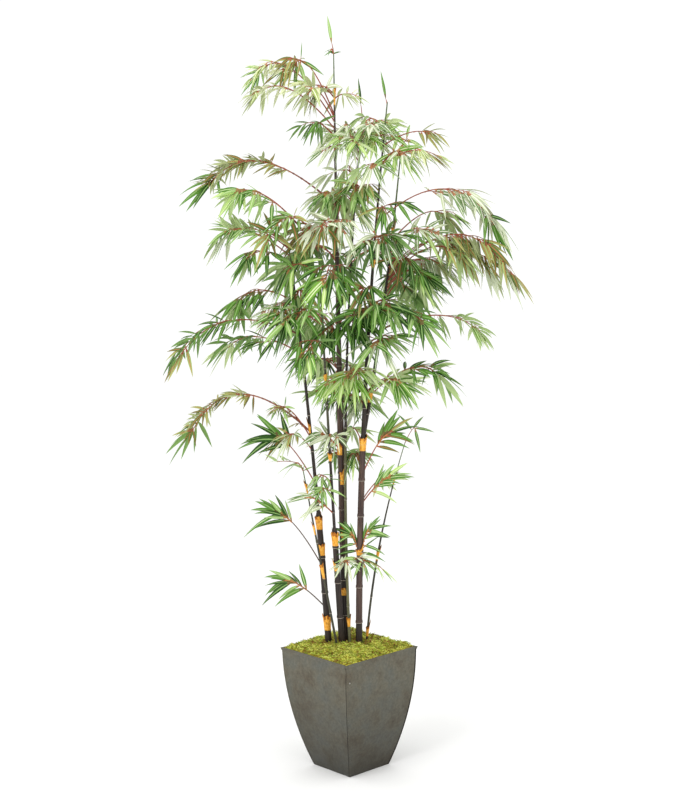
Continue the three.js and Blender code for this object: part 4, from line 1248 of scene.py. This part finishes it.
class Spray:
    """What grows on one spray. All the sprays put it into the same lists."""

    stems = []
    grey_stems = []
    twigs = []
    joints = []
    leaves = []

    def __init__(self, arch, hang, size, stray, random):
        self.arch, self.hang, self.size = arch, hang, size
        self.stray, self.random = stray, random

    def add_leaf(self, root, aim, turn_out, normal, tone, scale=1.0, roll=None):
        """A leaf turned out from an aim in the plane with that normal, and turned a little
        further each time while it would touch a culm."""
        random = self.random
        along = Matrix.Rotation(math.radians(turn_out), 3, normal) @ aim
        for attempt in range(LEAF_TRIES):
            stray = self.stray * (1 + 0.5 * attempt)
            turn, rise = (math.radians(stray * (next(random) - 0.5)) for _ in range(2))
            weight = UP * (self.hang / HALF_HANG if roll is None else 0)
            way = Matrix.Rotation(turn, 3, "Z") @ (along + UP * rise - weight * 0.5).normalized()
            across = normal.cross(way).normalized()
            spin = (next(random) - 0.5) * LEAF_ROLL if roll is None else roll
            across = Matrix.Rotation(math.radians(spin), 3, way) @ across
            size = self.size * scale * (lerp(*LEAF_SIZES, next(random)) if roll is None else 1)
            length = LEAF_LENGTH * size
            droop = lerp(*LEAF_DROOPS, next(random)) * size * math.hypot(way.x, way.y)
            shade = next(random)
            if clear_of_culms([root + way * length * share for share in LEAF_PROBES]):
                width = LEAF_WIDTH * size
                self.leaves.append(Leaf(root, way, across, length, width, droop, tone, shade))
                return

    def add_twigs(self, bare, tone, scale, closeness=1.0):
        """Side twigs to the left and right by turns, shorter towards the tip, and their leaves,
        which stand in a plane that leans to one side."""
        arch, random = self.arch, self.random
        count = round(arch.length() * (1 - bare) / (TWIG_SPACING * closeness))
        for k in range(count):
            t = bare + (1 - bare) * (k + 0.3) / count
            root = arch.point(t)
            side = -1 if k % 2 else 1
            heading = arch.azimuth + side * lerp(*TWIG_TURNS, next(random))
            slope = arch.elevation(t) * TWIG_PITCH - TWIG_SAG * next(random)
            direction = pointing(heading, slope)
            length = TWIG_LENGTH * closeness * (1 - TWIG_TAPER * k / count)
            length *= lerp(*TWIG_SIZES, next(random))
            lean = lerp(*LEAF_LEAN, next(random))
            rising, falling = LEAF_FOLLOW
            kept = slope * (falling if slope < 0 else rising)
            aim = pointing(heading, kept + lerp(*LEAF_NOD, next(random)))
            normal = leaning(aim, lean)
            bow = [along_twig(root, direction, length, share) for share in TWIG_POINTS]
            if not clear_of_culms(bow[1:]):
                continue
            self.twigs.append((bow, TWIG_RADII))
            self.joints.append((root, direction))
            for share, turn in TWIG_LEAVES:
                place = along_twig(root, direction, length, share)
                self.add_leaf(place, aim, side * turn, normal, tone, scale)

    def add_fan(self, turns, tone, lean, scale):
        """Leaves round the end of the stem, in a plane that leans to one side."""
        arch = self.arch
        aim = pointing(arch.azimuth, FAN_FOLLOW * arch.elevation(1))
        normal = leaning(aim, lean)
        for i, turn in enumerate(turns):
            back = (FAN_START + i * FAN_STAGGER) / arch.length()
            self.add_leaf(arch.point(max(1 - back, 0)), aim, turn, normal, tone, scale)
        self.joints.append((arch.point(COLLAR_PLACE), pointing(arch.azimuth, arch.elevation(1))))

    def add_frond(self, tone, second):
        """Leaves straight on the end of the stem, above it and below it by turns."""
        arch = self.arch
        lean = math.copysign(FROND_LEAN, math.cos(math.radians(arch.azimuth)))
        for i in range(FROND_LEAVES):
            t = max(1 - (FROND_START + FROND_STEP * i) / arch.length(), 0)
            turn = lerp(*FROND_TURNS, i / FROND_LEAVES) * (-1 if i % 2 else 1)
            aim = pointing(arch.azimuth, FROND_FOLLOW * arch.elevation(t))
            own = second if i % 3 == 2 else tone
            self.add_leaf(arch.point(t), aim, turn, leaning(aim, lean), own, FROND_LEAF)
            self.joints.append((arch.point(t), aim))


def grow_sprays(bark):
    """Every spray and its companions, by the same rule, and the boughs that carry the long ones."""
    for index, row in enumerate(SPRAYS + INNER_SPRAYS):
        name, carrier, z, azimuth, reach, rise, fall, bare, hang, tone, second, size, companions = row
        culm = CULMS[carrier]
        arch = Arch(culm_centre(culm, z), azimuth, reach, rise, fall)
        spray = Spray(arch, hang, size, LEAF_STRAY, seeded_random(index + 1))
        start = 0.0
        if name in BOUGHS:
            make_bough(name, arch, bare, bark)
            start = bare
        (Spray.stems if z > GREY_BELOW else Spray.grey_stems).append((arch.line(start), STEM_RADII))
        if rise == fall:
            spray.add_frond(tone, second)
        else:
            close = name in CLOSE_ARCHES
            spray.add_twigs(bare, tone, CLOSE_LEAF if close else 1.0, CLOSENESS if close else 1.0)
            lean = lerp(*LEAF_LEAN, next(spray.random))
            spray.add_fan(WIDE_FAN if reach < SHORT_REACH else STEM_FAN, second, lean, FAN_LEAF)
        for i, (turn, shift, share) in enumerate(COMPANIONS[:companions]):
            root = culm_centre(culm, min(z + shift, culm["top"] - COMPANION_UNDER_TIP))
            beside = Arch(root, azimuth + turn, reach * share, rise * share, fall * share)
            random = seeded_random(index + COMPANION_SEEDS[0] + COMPANION_SEEDS[1] * i)
            other = Spray(beside, hang + COMPANION_HANG, size, LEAF_STRAY, random)
            Spray.stems.append((beside.line(), (STEM_RADII[0] * COMPANION_STEM, STEM_RADII[1])))
            leafless = min(bare + COMPANION_BARE, MOST_BARE)
            other.add_twigs(leafless, second if i % 2 else tone, COMPANION_LEAF)
            other.add_fan(STEM_FAN, second, lerp(*LEAF_LEAN, next(other.random)), 1.0)


def grow_tips():
    """The leaves that stand on the culms' own tips."""
    for index, (_, carrier, azimuth, reach, height, hang, tone, turns) in enumerate(TIPS):
        culm = CULMS[carrier]
        arch = Arch(culm_centre(culm, culm["top"] - TIP_SINK), azimuth, reach, height, height)
        spray = Spray(arch, hang, TIP_LEAF, TIP_STRAY, seeded_random(len(SPRAYS) + index + 1))
        Spray.stems.append((arch.line(steps=TIP_POINTS), (culm["radii"][3], TWIG_RADII[1])))
        aim = pointing(azimuth, -hang)
        roll = TIP_ROLL if len(turns) == 1 else None
        normal = UP if roll else leaning(aim, TIP_LEAN)
        for i, turn in enumerate(turns):
            place = arch.point(max(1 - TIP_SPACING * i, TIP_LOWEST))
            spray.add_leaf(place, aim, turn, normal, tone, 1, roll)


def bend_leaf(shape, leaf):
    """The corners of a leaf in its place: bent down towards its point by its own weight."""
    third = leaf.along.cross(leaf.across)
    x, y, z = shape.T
    corners = np.outer(x * leaf.length, leaf.along) + np.outer(y * leaf.width, leaf.across)
    corners += np.outer(z * leaf.width - LEAF_CURL * leaf.length * x**2, third)
    corners -= np.outer(leaf.droop * x**2, UP)
    return corners + np.array(leaf.root)


def make_leaves():
    """The leaves of each tone as one piece, which stands for the sprays of that tone."""
    template = leaf_template()
    shape, _, kinds = template
    light_kinds = np.where(kinds == BLADE, LIGHT_BLADE, kinds)
    masses = [(row[0], row[9]) for row in SPRAYS] + [(row[0], row[6]) for row in TIPS]
    for tone, colours in TONES.items():
        leaves = [leaf for leaf in Spray.leaves if leaf.tone == tone]
        places = [bend_leaf(shape, leaf) for leaf in leaves]
        deals = [kinds if leaf.shade < DARK_SHARE else light_kinds for leaf in leaves]
        cloth = [
            make_plain(f"printed_cloth_{tone}_{part}", colour, roughness=0.55, shine=0.22)
            for part, colour in zip(LEAF_PARTS, colours)
        ]
        nodes = [f"foliage_{name}" for name, main_tone in masses if main_tone == tone]
        mesh = joined_copies(template, places, deals)
        new_piece(f"leaves_{tone}", mesh, cloth, nodes, sharp=25)


def make_joints(material):
    """A small swollen collar where each twig leaves its stem."""
    rows = len(COLLAR_RADII) - 1

    def place(row, column):
        turn = math.tau * column / COLLAR_SIDES
        radius = COLLAR_RADII[row]
        along = row / rows * COLLAR_LENGTH - COLLAR_BACK
        return Vector((along, radius * math.cos(turn), radius * math.sin(turn)))

    bm = wrap_grid(rows, COLLAR_SIDES, place)
    close_ends(bm)
    template = template_of(bm)
    shape, _, kinds = template
    places = []
    for root, along in Spray.joints:
        across = UP.cross(along).normalized()
        third = along.cross(across)
        axes = np.array([along, across, third])
        places.append(shape @ axes + np.array(root))
    mesh = joined_copies(template, places, [kinds] * len(places))
    new_piece("twig_collars", mesh, [material], sharp=60)


# Stage


def make_floor():
    """A wide plain floor."""
    bm = bmesh.new()
    bmesh.ops.create_circle(bm, cap_ends=True, segments=96, radius=FLOOR_RADIUS)
    mesh = to_mesh(bm)
    mesh.materials.append(make_plain("matt_white_floor", "#fbfbfa", roughness=0.9))
    floor = bpy.data.objects.new("floor", mesh)
    bpy.context.scene.collection.objects.link(floor)


def add_light(name, place, size, power):
    """A soft square lamp that faces the plant."""
    lamp = bpy.data.lights.new(name, "AREA")
    lamp.shape = "SQUARE"
    lamp.size = size
    lamp.energy = power
    holder = bpy.data.objects.new(name, lamp)
    holder.location = place
    holder.rotation_mode = "QUATERNION"
    holder.rotation_quaternion = (Vector(LAMP_TARGET) - Vector(place)).to_track_quat("-Z", "Y")
    bpy.context.scene.collection.objects.link(holder)


def make_stage():
    """Pale surroundings on every side, with one large soft lamp and a weaker one."""
    make_floor()
    world = bpy.data.worlds.new("studio")
    world.use_nodes = True
    background = world.node_tree.nodes["Background"]
    background.inputs["Color"].default_value = (1, 1, 1, 1)
    background.inputs["Strength"].default_value = WORLD_LIGHT
    bpy.context.scene.world = world
    bpy.context.scene.view_settings.view_transform = "Standard"
    for lamp in LAMPS:
        add_light(*lamp)


def make_camera():
    """The camera at the viewer's place, tilted down and rolled as the view is."""
    round_plant = Matrix.Rotation(math.radians(CAMERA_ROUND), 3, "Z")
    down, roll = math.radians(CAMERA_DOWN), math.radians(CAMERA_ROLL)
    right = Vector((1, 0, 0))
    forward = Vector((0, math.cos(down), -math.sin(down)))
    top = Vector((0, math.sin(down), math.cos(down)))
    axes = (
        right * math.cos(roll) + top * math.sin(roll),
        -right * math.sin(roll) + top * math.cos(roll),
        -forward,
    )
    lens = bpy.data.cameras.new("camera")
    lens.lens = CAMERA_LENS
    lens.sensor_width = CAMERA_SENSOR
    camera = bpy.data.objects.new("camera", lens)
    turned = Matrix([round_plant @ axis for axis in axes]).transposed()
    place = round_plant @ Vector((CAMERA_ASIDE, -CAMERA_AWAY, CAMERA_HEIGHT))
    camera.matrix_world = Matrix.Translation(place) @ turned.to_4x4()
    bpy.context.scene.collection.objects.link(camera)
    bpy.context.scene.camera = camera


def make_plant():
    """Every piece, from the planter up."""
    steel = make_patinated_steel()
    # The seam's groove is painted near-black as shadow
    make_planter(steel, make_plain("seam_painted_shadow", "#1d1c19", roughness=0.9))
    make_rivets(make_bright_rivet())
    make_moss_mound(make_moss_bed())
    strand_tones = [make_plain(f"moss_{name}", tone, roughness=0.9) for name, tone in MOSS_TONES.items()]
    make_moss_strands(strand_tones)
    canes = {name: make_culm(f"cane_dyed_{name}", *dyes) for name, dyes in CANE_DYES.items()}
    canes["bloom"] = make_plain("node_bloom", "#958a80", roughness=0.6)
    papery, lining, torn = (make_sheath(name, *tones) for name, tones in SHEATH_TONES.items())
    for name, culm in CULMS.items():
        make_culm_piece(name, culm, canes)
        make_sheaths(name, culm, [papery, lining, torn, lining])
    grow_sprays(make_bark())
    grow_tips()
    russet = make_plain("twig_russet", "#9a4c35", roughness=0.5)
    make_rods("stems", Spray.stems, russet)
    make_rods("twigs", Spray.twigs, russet)
    grey_brown = make_plain("stem_grey_brown", "#5a4a42", roughness=0.5)
    make_rods("grey_stems", Spray.grey_stems, grey_brown)
    make_joints(make_plain("collar_tan", "#b8743c", roughness=0.6))
    make_leaves()


make_camera()
make_stage()
make_plant()
